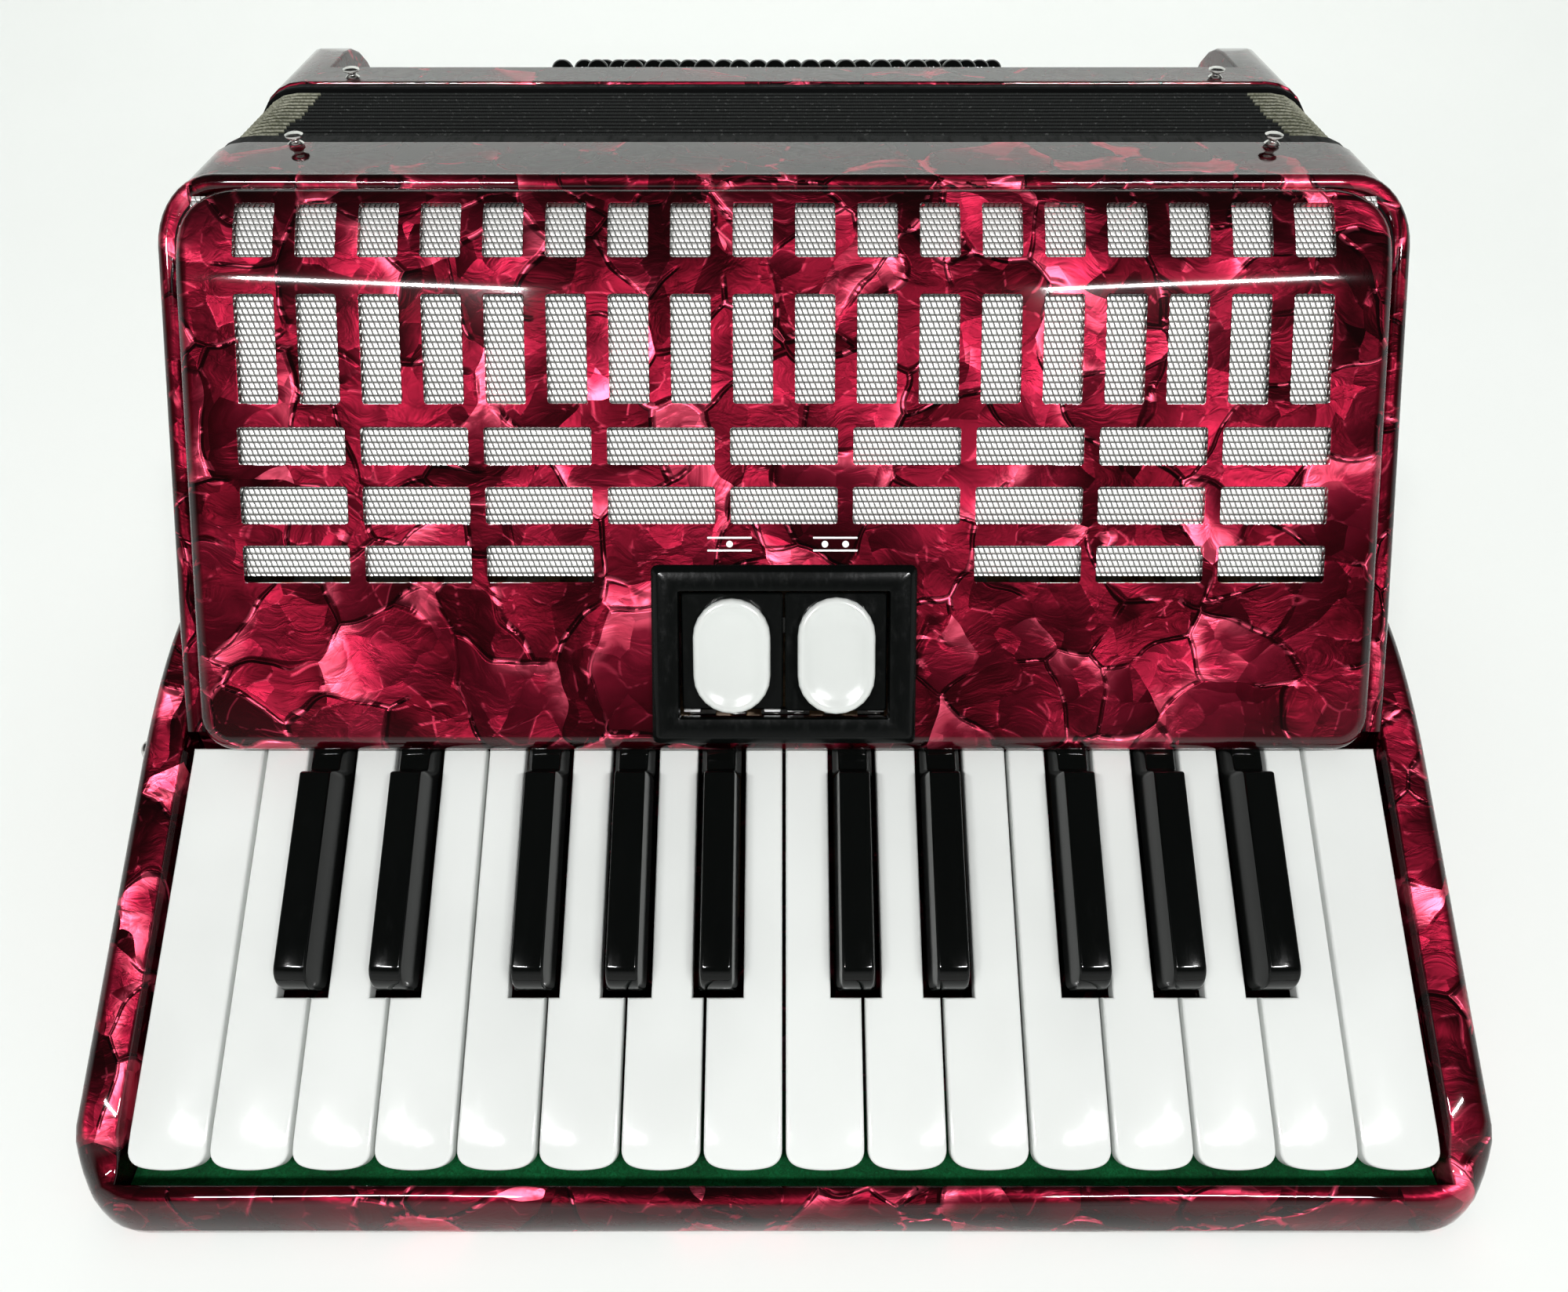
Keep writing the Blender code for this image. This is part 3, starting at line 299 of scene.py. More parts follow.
def cloth_material():
    """Pressed metal cloth: staggered rows of bumps, bright on their crowns, with their sides painted darker
    as shade and the slots between them painted near black as shade.
    """
    tree = Tree("metal_cloth")
    across, along, _ = tree.split(tree.node("UVMap", {}, uv_map="cloth")[0])
    row = tree.math("DIVIDE", along, 0.00164)
    number = tree.math("FLOOR", row)
    up = tree.math("FRACT", row)
    shift = tree.times(tree.math("MODULO", number, 2.0), 0.5)
    lean = tree.times(up, 0.35)
    column = tree.math("ADD", tree.math("DIVIDE", across, 0.00136), tree.math("ADD", shift, lean))
    side = tree.math("FRACT", column)

    def hill(value):
        swing = tree.times(value, 2.0, -1.0)
        return tree.math("SUBTRACT", 1.0, tree.math("POWER", tree.math("ABSOLUTE", swing), 4.0))

    bump = tree.times(hill(up), hill(side))
    drift = tree.noise(300.0, 2.0)
    # Colour by the bump's height: the near black slots and the darker sides are painted shade; the crowns are
    # the brightest.
    slot, side_shade, crown = (0.03, 0.03, 0.03), (0.48, 0.49, 0.47), (0.80, 0.80, 0.78)
    colour = tree.ramp(bump, (0.08, slot), (0.34, side_shade), (0.75, crown))
    tree.set(
        Base_Color=tree.mix(tree.between(drift, 0.35, 0.65, 0.0, 0.16), colour, (0.55, 0.53, 0.5)),
        Metallic=0.45,
        Roughness=0.30,
        Normal=tree.bump(bump, 0.00042, 0.9),
    )


def metal(name, colour, roughness):
    tree = Tree(name)
    scratch = tree.noise(900.0, 3.0, 0.6, at=tree.stretched(0.2, 1.0, 1.0))
    tree.set(
        Base_Color=tree.mix(tree.between(scratch, 0.3, 0.7), tuple(c * 0.86 for c in colour), colour),
        Metallic=1.0,
        Roughness=tree.between(scratch, 0.4, 0.8, roughness, roughness + 0.14),
        Normal=tree.bump(scratch, 0.00002, 0.4),
    )


def felt_material():
    tree = Tree("felt_green")
    fibre = tree.noise(900.0, 5.0, 0.75, 1.5)
    patch = tree.noise(90.0, 2.0)
    tone = tree.times(patch, 0.4, tree.times(fibre, 0.8))
    tree.set(
        Base_Color=tree.ramp(
            tone, (0.35, (0.0, 0.018, 0.005)), (0.62, (0.0, 0.090, 0.022)), (0.85, (0.004, 0.19, 0.055))
        ),
        Roughness=0.95,
        Specular_IOR_Level=0.1,
        Normal=tree.bump(fibre, 0.0007, 0.8),
    )


def card_material():
    """Black bellows cloth over card: a fine weave, with lint along the tips of the folds."""
    tree = Tree("bellows_card")
    place = tree.split(tree.space)
    weave = tree.math("SINE", tree.times(place[0], 9000.0))
    lint = tree.noise(700.0, 4.0, 0.7, at=tree.stretched(1.0, 2.2, 1.0))
    dust = tree.between(lint, 0.56, 0.74)
    tree.set(
        Base_Color=tree.mix(tree.times(dust, 0.5), (0.014, 0.016, 0.015), (0.13, 0.135, 0.13)),
        Roughness=0.7,
        Specular_IOR_Level=0.1,
        Normal=tree.bump(tree.times(lint, 1.4, weave), 0.00006, 0.6),
    )


def leather_material(name, dark, light, roughness, grain=1500.0):
    tree = Tree(name)
    cells = tree.voronoi(tree.space, grain)["Distance"]
    folds = tree.noise(130.0, 4.0, 0.6)
    rub = tree.noise(28.0, 3.0, 0.6)
    tone = tree.times(rub, 0.7, tree.times(cells, 0.35))
    tree.set(
        Base_Color=tree.mix(tree.between(tone, 0.3, 0.75), dark, light),
        Roughness=tree.between(rub, 0.3, 0.7, roughness, roughness + 0.15),
        Normal=tree.bump(tree.times(folds, 0.8, cells), 0.00025, 0.6),
    )


def wood_material(name, dark, light, roughness=0.5, along=(0.12, 1.0, 1.0)):
    tree = Tree(name)
    rings = tree.noise(160.0, 5.0, 0.6, 0.8, at=tree.stretched(*along))
    pores = tree.noise(600.0, 2.0, at=tree.stretched(0.3, 4.0, 4.0))
    colour = tree.mix(tree.between(rings, 0.3, 0.7), dark, light)
    colour = tree.mix(tree.between(pores, 0.58, 0.7, 0.0, 0.5), colour, tuple(c * 0.45 for c in dark))
    tree.set(Base_Color=colour, Roughness=roughness, Normal=tree.bump(pores, 0.00008, 0.5))


pearl_material()
plastic("key_white", (0.72, 0.74, 0.72), 0.07, 0.0, 0.0, 0.000006)
plastic("cap_white", (0.60, 0.62, 0.60), 0.16, 0.0, 0.4, 0.00001)
plastic("key_black", (0.0022, 0.0026, 0.0024), 0.07, 0.1, 0.0, 0.00001, 0.16)
plastic("black_plastic", (0.0022, 0.0027, 0.0025), 0.18, 0.15, 0.0, 0.00003, 0.12)
cloth_material()
metal("chrome", (0.62, 0.61, 0.59), 0.14)
felt_material()
card_material()
# Painted shade: near black for the bellows' fold sides and the cover's groove, and darker leather for the
# corners' fold sides.
plastic("bellows_valley", (0.003, 0.003, 0.003), 0.8, shine=0.05)
plastic("corner_leather_shade", (0.045, 0.047, 0.030), 0.8, shine=0.05)
leather_material("corner_leather", (0.10, 0.105, 0.065), (0.30, 0.30, 0.22), 0.42)
plastic("frame_wood", (0.005, 0.0055, 0.0055), 0.45, 0.1, 0.0, shine=0.02)
wood_material("reed_wood", (0.36, 0.19, 0.08), (0.62, 0.41, 0.21))
wood_material("lever_wood", (0.30, 0.15, 0.06), (0.50, 0.31, 0.15), 0.55, (1.0, 0.15, 0.3))
leather_material("strap_leather", (0.006, 0.006, 0.006), (0.022, 0.020, 0.018), 0.38)
leather_material("thread", (0.03, 0.03, 0.03), (0.07, 0.07, 0.065), 0.7, 3000.0)
plastic("ink", (0.84, 0.85, 0.84), 0.3)
leather_material("pallet_felt", (0.42, 0.36, 0.28), (0.60, 0.54, 0.44), 0.85, 2500.0)


# Meshes


def linked(name, data):
    obj = bpy.data.objects.new(name, data)
    bpy.context.scene.collection.objects.link(obj)
    return obj


def made(name, bm, look, smooth=32.0):
    """Finishes a bmesh as an object with its faces out, smooth but for edges sharper than the angle."""
    bmesh.ops.recalc_face_normals(bm, faces=bm.faces)
    mesh = bpy.data.meshes.new(name)
    bm.to_mesh(mesh)
    bm.free()
    mesh.shade_smooth()
    mesh.set_sharp_from_angle(angle=radians(smooth))
    for item in [look] if isinstance(look, str) else look:
        mesh.materials.append(LOOKS[item])
    return linked(name, mesh)


def loops_of(bm, rings):
    return [[bm.verts.new(p) for p in ring] for ring in rings]


def bridge(bm, first, second):
    """Joins two closed loops of vertices with a band of faces."""
    for i in range(len(first)):
        j = (i + 1) % len(first)
        bm.faces.new((first[i], first[j], second[j], second[i]))


def skin(bm, rings, closed=False):
    """Adds a tube of faces through rings of points, capped unless it closes on itself."""
    loops = loops_of(bm, rings)
    for first, second in zip(loops, loops[1:] + ([loops[0]] if closed else [])):
        bridge(bm, first, second)
    if not closed:
        bm.faces.new(loops[0][::-1])
        bm.faces.new(loops[-1])


def as_is(a, b, level):
    return a, b, level


def layer(place, outline, level):
    return [place(a, b, level) for a, b in outline]


def prism(bm, place, outline, levels):
    """Adds a capped block with the same outline at every level."""
    skin(bm, [layer(place, outline, level) for level in levels])


def cross_cut(bm, along):
    geometry = bm.verts[:] + bm.edges[:] + bm.faces[:]
    bmesh.ops.bisect_plane(bm, geom=geometry, plane_co=(0, along, 0), plane_no=(0, 1, 0))


def lofted(name, rings, look, closed=False, smooth=32.0):
    bm = bmesh.new()
    skin(bm, rings, closed)
    return made(name, bm, look, smooth)


def arcs(corner_list, steps):
    """Points round quarter circles, each given as its centre, its radius and its start in degrees."""
    points = []
    for a, b, radius, start in corner_list:
        for share in shares(steps):
            turn = radians(start + 90 * share)
            points.append((a + radius * cos(turn), b + radius * sin(turn)))
    return points


def rounded_rectangle(a0, a1, b0, b1, radius, steps=4):
    left, right, low, high = a0 + radius, a1 - radius, b0 + radius, b1 - radius
    places = ((right, low, -90), (right, high, 0), (left, high, 90), (left, low, 180))
    return arcs([(a, b, radius, start) for a, b, start in places], steps)


def turned_rings(profile, base, axis, sides=24):
    """Rings of a turned shape from (radius, height) pairs, the heights in millimetres from the base."""
    turn = Vector((0, 0, 1)).rotation_difference(Vector(axis))
    rings = []
    for radius, height in profile:
        around = [point(radius * cos(a), radius * sin(a), height) for a in circle(sides)]
        rings.append([base + turn @ place for place in around])
    return rings


def copied(node, name, look):
    """A new piece with a node's own shape, its flat faces made whole again."""
    bm = bmesh.new()
    bm.from_mesh(NODES[node].data)
    bmesh.ops.remove_doubles(bm, verts=bm.verts, dist=1e-6)
    bmesh.ops.dissolve_limit(bm, angle_limit=radians(0.6), verts=bm.verts, edges=bm.edges)
    return made(name, bm, look)


def soft_edges(obj, width, segments=3, angle=40.0):
    bevel = obj.modifiers.new("soft_edges", "BEVEL")
    bevel.width = width * MM
    bevel.segments = segments
    bevel.limit_method = "ANGLE"
    bevel.angle_limit = radians(angle)
    bevel.use_clamp_overlap = True
    bevel.harden_normals = True
    return obj


def settle(obj, body, slot, *nodes):
    """Puts a piece on its body and lets it stand for the nodes; the slot is not used."""
    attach(obj, body)
    if nodes:
        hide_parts(*nodes)
    return obj


def on_body(name, rings, look, body, *nodes, **options):
    """A lofted piece with its look, on its body and standing for the nodes."""
    settle(lofted(name, rings, look, **options), body, look, *nodes)


def softened(node, name, look, body, width, segments=3, angle=40.0):
    """A node's own shape with soft edges, standing for the node."""
    settle(soft_edges(copied(node, name, look), width, segments, angle), body, look, node)


def cut_with(obj, cutter):
    """Cuts, applies the result to the object's mesh and removes the cutter."""
    modifier = obj.modifiers.new("cut", "BOOLEAN")
    modifier.operation = "DIFFERENCE"
    modifier.object = cutter
    graph = bpy.context.evaluated_depsgraph_get()
    graph.update()
    result = bpy.data.meshes.new_from_object(obj.evaluated_get(graph))
    obj.modifiers.clear()
    obj.data = result
    bpy.data.objects.remove(cutter)
    return obj


# Keys

FIRST_WHITE = 6
BLACK_OFFSETS = {0: -1.7, 1: 1.7, 3: -3.2, 4: 0.0, 5: 3.2}
BLACK_HALF, BLACK_TOP_HALF, BLACK_HEIGHT, BLACK_REAR = 5.1, 3.9, 10.5, 4.2
WHITE_FRONT, WHITE_THICK, NOTCH_SPACE, KEY_SPACE = 36.0, 4.5, 1.2, 0.9
LEVER_HALF, LEVER_DEEP, LEVER_START, PALLET_HALF, PALLET_LENGTH = 2.0, 6.0, 56.0, 5.5, 24.0
TIP_BULGE = 3.2


def black_centre(boundary):
    note = (FIRST_WHITE + boundary - 1) % 7
    if not 0 < boundary < WHITE_COUNT or note not in BLACK_OFFSETS:
        return None
    return (boundary - WHITE_COUNT / 2) * KEY_PITCH + BLACK_OFFSETS[note]


def white_outline(index):
    """The key's outline from above: a bulging tip with rounded corners, and notches for black keys."""
    left = (index - WHITE_COUNT / 2) * KEY_PITCH + KEY_SPACE / 2
    right = left + KEY_PITCH - KEY_SPACE
    middle, half = (left + right) / 2, (right - left) / 2
    end = KEY_VISIBLE + 3.0
    outline = []
    for share in shares(24):
        t = sin(pi * (share - 0.5))
        corner = TIP_BULGE * (1 - sqrt(max(0.0, 1 - abs(t) ** 7)))
        outline.append((middle + half * t, -TIP_BULGE * (1 - 0.42 * t * t) + corner))
    after, before = black_centre(index + 1), black_centre(index)
    reach = BLACK_HALF + NOTCH_SPACE
    if after is None:
        outline.append((right, end))
    else:
        outline += [(right, WHITE_FRONT), (after - reach, WHITE_FRONT), (after - reach, end)]
    if before is None:
        outline.append((left, end))
    else:
        outline += [(before + reach, end), (before + reach, WHITE_FRONT), (left, WHITE_FRONT)]
    return outline


def white_top(index):
    """The plastic top of a white key: crisp sides, and a tip that rolls over."""
    bm = bmesh.new()
    outline = white_outline(index)
    prism(bm, as_is, outline, (-WHITE_THICK, 0))
    for along in (1.0, 3.0, 6.0, 10.0):
        cross_cut(bm, along)
    bm.normal_update()
    rim = [e for e in bm.edges if e.calc_face_angle(0) > 1.0 and all(v.co.z > -1e-6 for v in e.verts)]
    bmesh.ops.bevel(bm, geom=rim, offset=0.75, segments=4, profile=0.5, affect="EDGES", clamp_overlap=True)
    for vert in bm.verts:
        a, b, c = vert.co
        roll = max(0.0, 1 - (b + TIP_BULGE) / 9.0)
        drop = 1.1 * roll * roll if c > -WHITE_THICK + 0.5 else 0.0
        vert.co = on_keys(a, b, c - drop)
    return made(f"white_top_{index + 1:02d}", bm, "key_white", 28.0)


def lever(name, x, pallet):
    """The wooden lever under a key, over its axle and up to the pallet, with the pallet's own felt."""
    low = -PIVOT_BELOW - LEVER_DEEP / 2
    back = PLATE_DEPTH - 2.3
    end = pallet + PALLET_LENGTH * 0.8
    side = [
        on_keys(0, LEVER_START, -WHITE_THICK),
        on_keys(0, LEVER_START, low + 3.0),
        on_keys(0, LEVER_START + 8.0, low),
        on_keys(0, PIVOT_ALONG + 1, low),
        on_face(0, pallet, back),
        on_face(0, end, back),
        on_face(0, end, back - LEVER_DEEP + 2),
        on_face(0, pallet - 4, back - LEVER_DEEP),
        on_keys(0, PIVOT_ALONG + 2, -PIVOT_BELOW + LEVER_DEEP / 2 + 1),
        on_keys(0, KEY_VISIBLE, -WHITE_THICK),
    ]
    rings = [[p + Vector(((x + dx) * MM, 0, 0)) for p in side] for dx in (-LEVER_HALF, LEVER_HALF)]
    arm = soft_edges(lofted(f"{name}_lever", rings, "lever_wood"), 0.5, 2)
    pad = []
    for q, grow in ((-4.3, -0.6), (-3.9, 0.0), (-2.3, 0.0), (-2.3, -0.4), (-0.3, -0.4)):
        half, low, high = PALLET_HALF + grow, pallet - grow, pallet + PALLET_LENGTH + grow
        ring = rounded_rectangle(x - half, x + half, low, high, 1.2, 2)
        pad.append(layer(on_face, ring, PLATE_DEPTH + q))
    return arm, lofted(f"{name}_pallet", pad, "pallet_felt")


def white_lever_x(index):
    left, right = black_centre(index), black_centre(index + 1)
    left = (index - WHITE_COUNT / 2) * KEY_PITCH if left is None else left
    right = (index + 1 - WHITE_COUNT / 2) * KEY_PITCH if right is None else right
    most = CASE_HALF - 6.0 - PALLET_HALF - 1.0
    return max(-most, min(most, (left + right) / 2))


def black_section(x, u, half_low, half_high, high):
    """A black key's outline across: flared sides and rounded shoulders."""
    radius = min(0.85, max(0.2, high * 0.3))
    shoulder = [
        (half_high - radius + radius * sin(t), high - radius + radius * cos(t))
        for t in quarter(4)[::-1]
    ]
    right = [(half_low, -WHITE_THICK), (half_low, 0.6), *shoulder]
    return [on_keys(x + a, u, b) for a, b in right] + [on_keys(x - a, u, b) for a, b in reversed(right)]


def black_top(number, x):
    """The body of a black key: a rolled nose, a long flat top and a step down under the cover."""
    start, end = WHITE_FRONT + 1.6, KEY_VISIBLE - 3.5
    nose = 5.2
    stations = []
    for t in quarter(8):
        high = 1.6 + (BLACK_HEIGHT - 1.6) * sin(t) ** 0.85
        tuck = 0.9 * (1 - sin(t)) ** 2
        along = start + nose * (1 - cos(t)) ** 0.9
        stations.append((along, BLACK_HALF - tuck, BLACK_TOP_HALF - tuck * 0.6, high))
    stations.append((start + nose + 6, BLACK_HALF, BLACK_TOP_HALF, BLACK_HEIGHT))
    for t in shares(6):
        drop = (BLACK_HEIGHT - BLACK_REAR) * (3 * t * t - 2 * t**3)
        stations.append((end - 2.5 + 2.5 * t, BLACK_HALF, BLACK_TOP_HALF, BLACK_HEIGHT - drop))
    stations.append((KEY_VISIBLE + 3.0, BLACK_HALF, BLACK_TOP_HALF, BLACK_REAR - 0.6))
    rings = [black_section(x, *station) for station in stations]
    return lofted(f"black_top_{number:02d}", rings, "key_black", smooth=35.0)


def key(node, top, look, x, pallet):
    settle(top, node, look, node)
    for piece in lever(node, x, pallet):
        settle(piece, node, "reed_wood")


def keyboard():
    for index in range(WHITE_COUNT):
        node = f"white_key_{index + 1:02d}"
        key(node, white_top(index), "key_white", white_lever_x(index), 20.0)
    places = [black_centre(i) for i in range(WHITE_COUNT)]
    for number, x in enumerate([x for x in places if x is not None], start=1):
        key(f"black_key_{number:02d}", black_top(number, x), "key_black", x, 52.0)


# Keyboard frame

ARM_OUTER, ARM_INNER = 169.5, 157.8
FRAME_CORNER, FRAME_FLOOR = 17.0, 3.5
WALL_INSIDE, FRONT_HEIGHT, FRONT_THICK = 4.6, 14.2, 6.2
ARM_ABOVE, ARM_LENGTH = 1.5, 142.0


def rim_height(y):
    """Height of the frame's rim at a place along the table."""
    inside = TIP_Y - WALL_INSIDE
    if y < inside:
        return FRONT_HEIGHT
    u = (y - TIP_Y) / cos(KEY_SLOPE) + ARM_ABOVE * tan(KEY_SLOPE)
    slope = TIP_HEIGHT + u * sin(KEY_SLOPE) + ARM_ABOVE * cos(KEY_SLOPE)
    blend = min(1.0, (y - inside) / 9.0)
    return max(FRONT_HEIGHT, FRONT_HEIGHT * (1 - blend) + slope * blend)


def rim_section(inner, outer, high, front):
    """Points across the rim from the well's floor, over the rounded top and down the outside.

    inner and outer are (x, y) in plan; front is 1 on the front wall, where the outside rolls over
    in a long curve, and 0 on the arms."""
    inner, outer = Vector(inner), Vector(outer)
    across = outer - inner
    wide = across.length
    step = across / wide
    outside = min(7.5 * front + 4.6 * (1 - front), wide - 1.4)
    tall = min(outside * (1.15 + 0.35 * front), high - 3.0)
    points = [(0.0, FRAME_FLOOR - 0.5), (0.0, high - 1.1)]
    points += [(0.9 - 0.9 * cos(t), high - 1.1 + 1.1 * sin(t)) for t in (0.5, 1.05, pi / 2)]
    for t in quarter(8):
        points.append((wide - outside + outside * sin(t), high - tall + tall * cos(t)))
    points += [(wide, 3.0), (wide - 0.6, 1.0), (wide - 2.4, 0.0), (0.0, 0.0)]
    flat = [inner + step * a for a, _ in points]
    return [point(xy.x, xy.y, z) for xy, (_, z) in zip(flat, points)]


def frame_path():
    """(inner, outer, front) in plan along the right half of the rim, from the middle to the arm's end."""
    front_y = TIP_Y - WALL_INSIDE - FRONT_THICK
    inside = TIP_Y - WALL_INSIDE
    centre = (ARM_OUTER - FRAME_CORNER, front_y + FRAME_CORNER)
    stations = []
    for share in shares(14):
        x = centre[0] * share
        stations.append(((x * ARM_INNER / ARM_OUTER, inside), (x, front_y), 1.0))
    for share in shares(10)[1:]:
        turn = radians(90 * share - 90)
        outer = (centre[0] + FRAME_CORNER * cos(turn), centre[1] + FRAME_CORNER * sin(turn))
        inner = (ARM_INNER, inside + max(0.0, share - 0.5) * 2 * (centre[1] - inside))
        if share < 0.5:
            start = centre[0] * ARM_INNER / ARM_OUTER
            inner = (start + (ARM_INNER - start) * share * 2, inside)
        stations.append((inner, outer, 1.0 - share))
    taper_start = TIP_Y + KEY_VISIBLE - 12
    arm_end = (on_keys(0, ARM_LENGTH, 0).y / MM) + 8
    for share in shares(12)[1:]:
        y = centre[1] + (taper_start - centre[1]) * share
        stations.append(((ARM_INNER, y), (ARM_OUTER, y), 0.0))
    for t in quarter(12)[1:]:
        y = taper_start + (arm_end - taper_start) * sin(t) * 0.985
        turn = asin(min(1.0, (y - taper_start) / (arm_end - taper_start)))
        outer = ARM_OUTER - (ARM_OUTER - ARM_INNER - 1.2) * (1 - cos(turn))
        stations.append(((ARM_INNER, y), (max(outer, ARM_INNER + 2.2), y), 0.0))
    return stations


def keyboard_frame():
    """The red tray: a rim with a rolled outer edge, mitred at the corners, and a floor under the keys."""
    bm = bmesh.new()
    half = frame_path()
    last_y = half[-1][1][1]
    rings = []
    for side in (-1, 1):
        stations = half[1:] if side > 0 else half[::-1]
        for inner, outer, front in stations:
            middle_y = inner[1] * 0.5 + outer[1] * 0.5
            high = rim_height(middle_y)
            fall = max(0.0, (middle_y - (last_y - 15.0)) / 15.0)
            high -= 34.0 * (1 - sqrt(max(0.0, 1 - fall * fall)))
            ring = rim_section(inner, outer, high, front)
            rings.append([Vector((p.x * side, p.y, p.z)) for p in ring])
    skin(bm, rings)
    low_y = TIP_Y - WALL_INSIDE - 1.0
    floor = rounded_rectangle(-ARM_INNER - 1, ARM_INNER + 1, low_y, -68.8, 1.0, 2)
    prism(bm, point, floor, (0.4, FRAME_FLOOR))
    settle(made("keyboard_tray", bm, "pearl_red", 40.0), TREBLE, "pearl_red", "keyboard_frame")


# Grille cover

COVER_HALF, COVER_SHELL, COVER_DEPTH = 150.7, 1.8, 8.7
WINDOW_PITCH, WINDOW_WIDTH, WINDOW_COLUMNS = 15.35, 9.8, 18
WIDE_WINDOW = WINDOW_PITCH + WINDOW_WIDTH + 1.6
BAR_PITCH, BAR_HEIGHT, LOWEST_BAR = 14.7, 9.1, 43.7
TALL_START = LOWEST_BAR + 3 * BAR_PITCH + 0.3
TALL_HEIGHT = 26.4
TOP_START, TOP_HEIGHT = FACE_LENGTH + 8.0, 14.0
BEZEL_WIDTH, BEZEL_HEIGHT, BEZEL_START = 66.8, 45.4, 2.8
BEZEL_OPEN_WIDTH, BEZEL_OPEN_HEIGHT, BEZEL_PROUD = 53.2, 32.4, 3.6
OPEN_LOW = BEZEL_START + (BEZEL_HEIGHT - BEZEL_OPEN_HEIGHT) / 2
OPEN_HIGH = OPEN_LOW + BEZEL_OPEN_HEIGHT


def windows():
    """(x0, x1, s0, s1) of every window in the cover."""
    columns = WINDOW_COLUMNS // 2
    for row in range(3):
        low = LOWEST_BAR + row * BAR_PITCH
        for column in range(columns):
            if row == 0 and 3 <= column < columns - 3:
                continue
            x = (column - (columns - 1) / 2) * 2 * WINDOW_PITCH
            yield x - WIDE_WINDOW / 2, x + WIDE_WINDOW / 2, low, low + BAR_HEIGHT
    for column in range(WINDOW_COLUMNS):
        x = (column - (WINDOW_COLUMNS - 1) / 2) * WINDOW_PITCH
        for low, high in ((TALL_START, TALL_HEIGHT), (TOP_START, TOP_HEIGHT)):
            yield x - WINDOW_WIDTH / 2, x + WINDOW_WIDTH / 2, low, low + high


def cover_outline(inset, length):
    """The cover seen flat, with small corners at the keyboard and large ones at the top."""
    half = COVER_HALF - inset
    small, large = max(9.0 - inset, 1.0), max(15.0 - inset, 1.0)
    low, high = inset + small, length - inset - large
    places = (
        (half - small, low, small, -90),
        (half - large, high, large, 0),
        (large - half, high, large, 90),
        (small - half, low, small, 180),
    )
    return arcs(places, 8)


def grille_cover():
    """The pearl cover: a shell with rolled edges, pierced by rounded windows and bent back at the top."""
    length = FACE_LENGTH + BEND_LENGTH + 1.0
    rings = [layer(as_is, cover_outline(0.0, length), COVER_DEPTH)]
    edge = 4.2
    for turn in quarter(7):
        inset, depth = edge * (1 - cos(turn)), edge * (1 - sin(turn))
        rings.append(layer(as_is, cover_outline(inset, length), depth))
    inside = []
    for inset, depth in ((1.8, COVER_SHELL), (0.4, COVER_SHELL + 1.1), (0.0, COVER_DEPTH)):
        inside.append(layer(as_is, cover_outline(COVER_SHELL + inset, length), depth))
    bm = bmesh.new()
    skin(bm, rings)
    back = [f for f in bm.faces if len(f.verts) > 4 and f.calc_center_median().z > 5]
    bmesh.ops.delete(bm, geom=back, context="FACES")
    loops_in = loops_of(bm, inside)
    for first, second in zip(loops_in, loops_in[1:]):
        bridge(bm, first, second)
    bm.faces.new(loops_in[0])
    bm.verts.ensure_lookup_table()
    bridge(bm, bm.verts[: len(rings[0])], loops_in[-1])
    cover = made("pearl_cover", bm, "pearl_red")
    cutter = bmesh.new()
    for x0, x1, s0, s1 in windows():
        prism(cutter, as_is, rounded_rectangle(x0, x1, s0, s1, 0.7, 3), (-3.0, 5.0))
    half = BEZEL_OPEN_WIDTH / 2
    prism(cutter, as_is, rounded_rectangle(-half, half, OPEN_LOW, OPEN_HIGH, 0.5, 2), (-3.0, 5.0))
    cut_with(cover, made("window_cutter", cutter, "pearl_red"))
    bm = bmesh.new()
    bm.from_mesh(cover.data)
    bm.normal_update()
    rims = [
        e
        for e in bm.edges
        if e.is_manifold and e.calc_face_angle(0) > 1.2 and all(abs(v.co.z) < 1e-4 for v in e.verts)
    ]
    bmesh.ops.bevel(bm, geom=rims, offset=0.22, segments=2, profile=0.6, affect="EDGES", clamp_overlap=False)
    for share in shares(12):
        cross_cut(bm, FACE_LENGTH + BEND_LENGTH * share)
    for vert in bm.verts:
        vert.co = on_cover(*vert.co)
    bmesh.ops.recalc_face_normals(bm, faces=bm.faces)
    bm.to_mesh(cover.data)
    bm.free()
    cover.data.shade_smooth()
    cover.data.set_sharp_from_angle(angle=radians(35))
    flat = cover.modifiers.new("flat_faces", "WEIGHTED_NORMAL")
    flat.keep_sharp = True
    flat.weight = 100
    settle(cover, TREBLE, "pearl_red", "grille_cover")


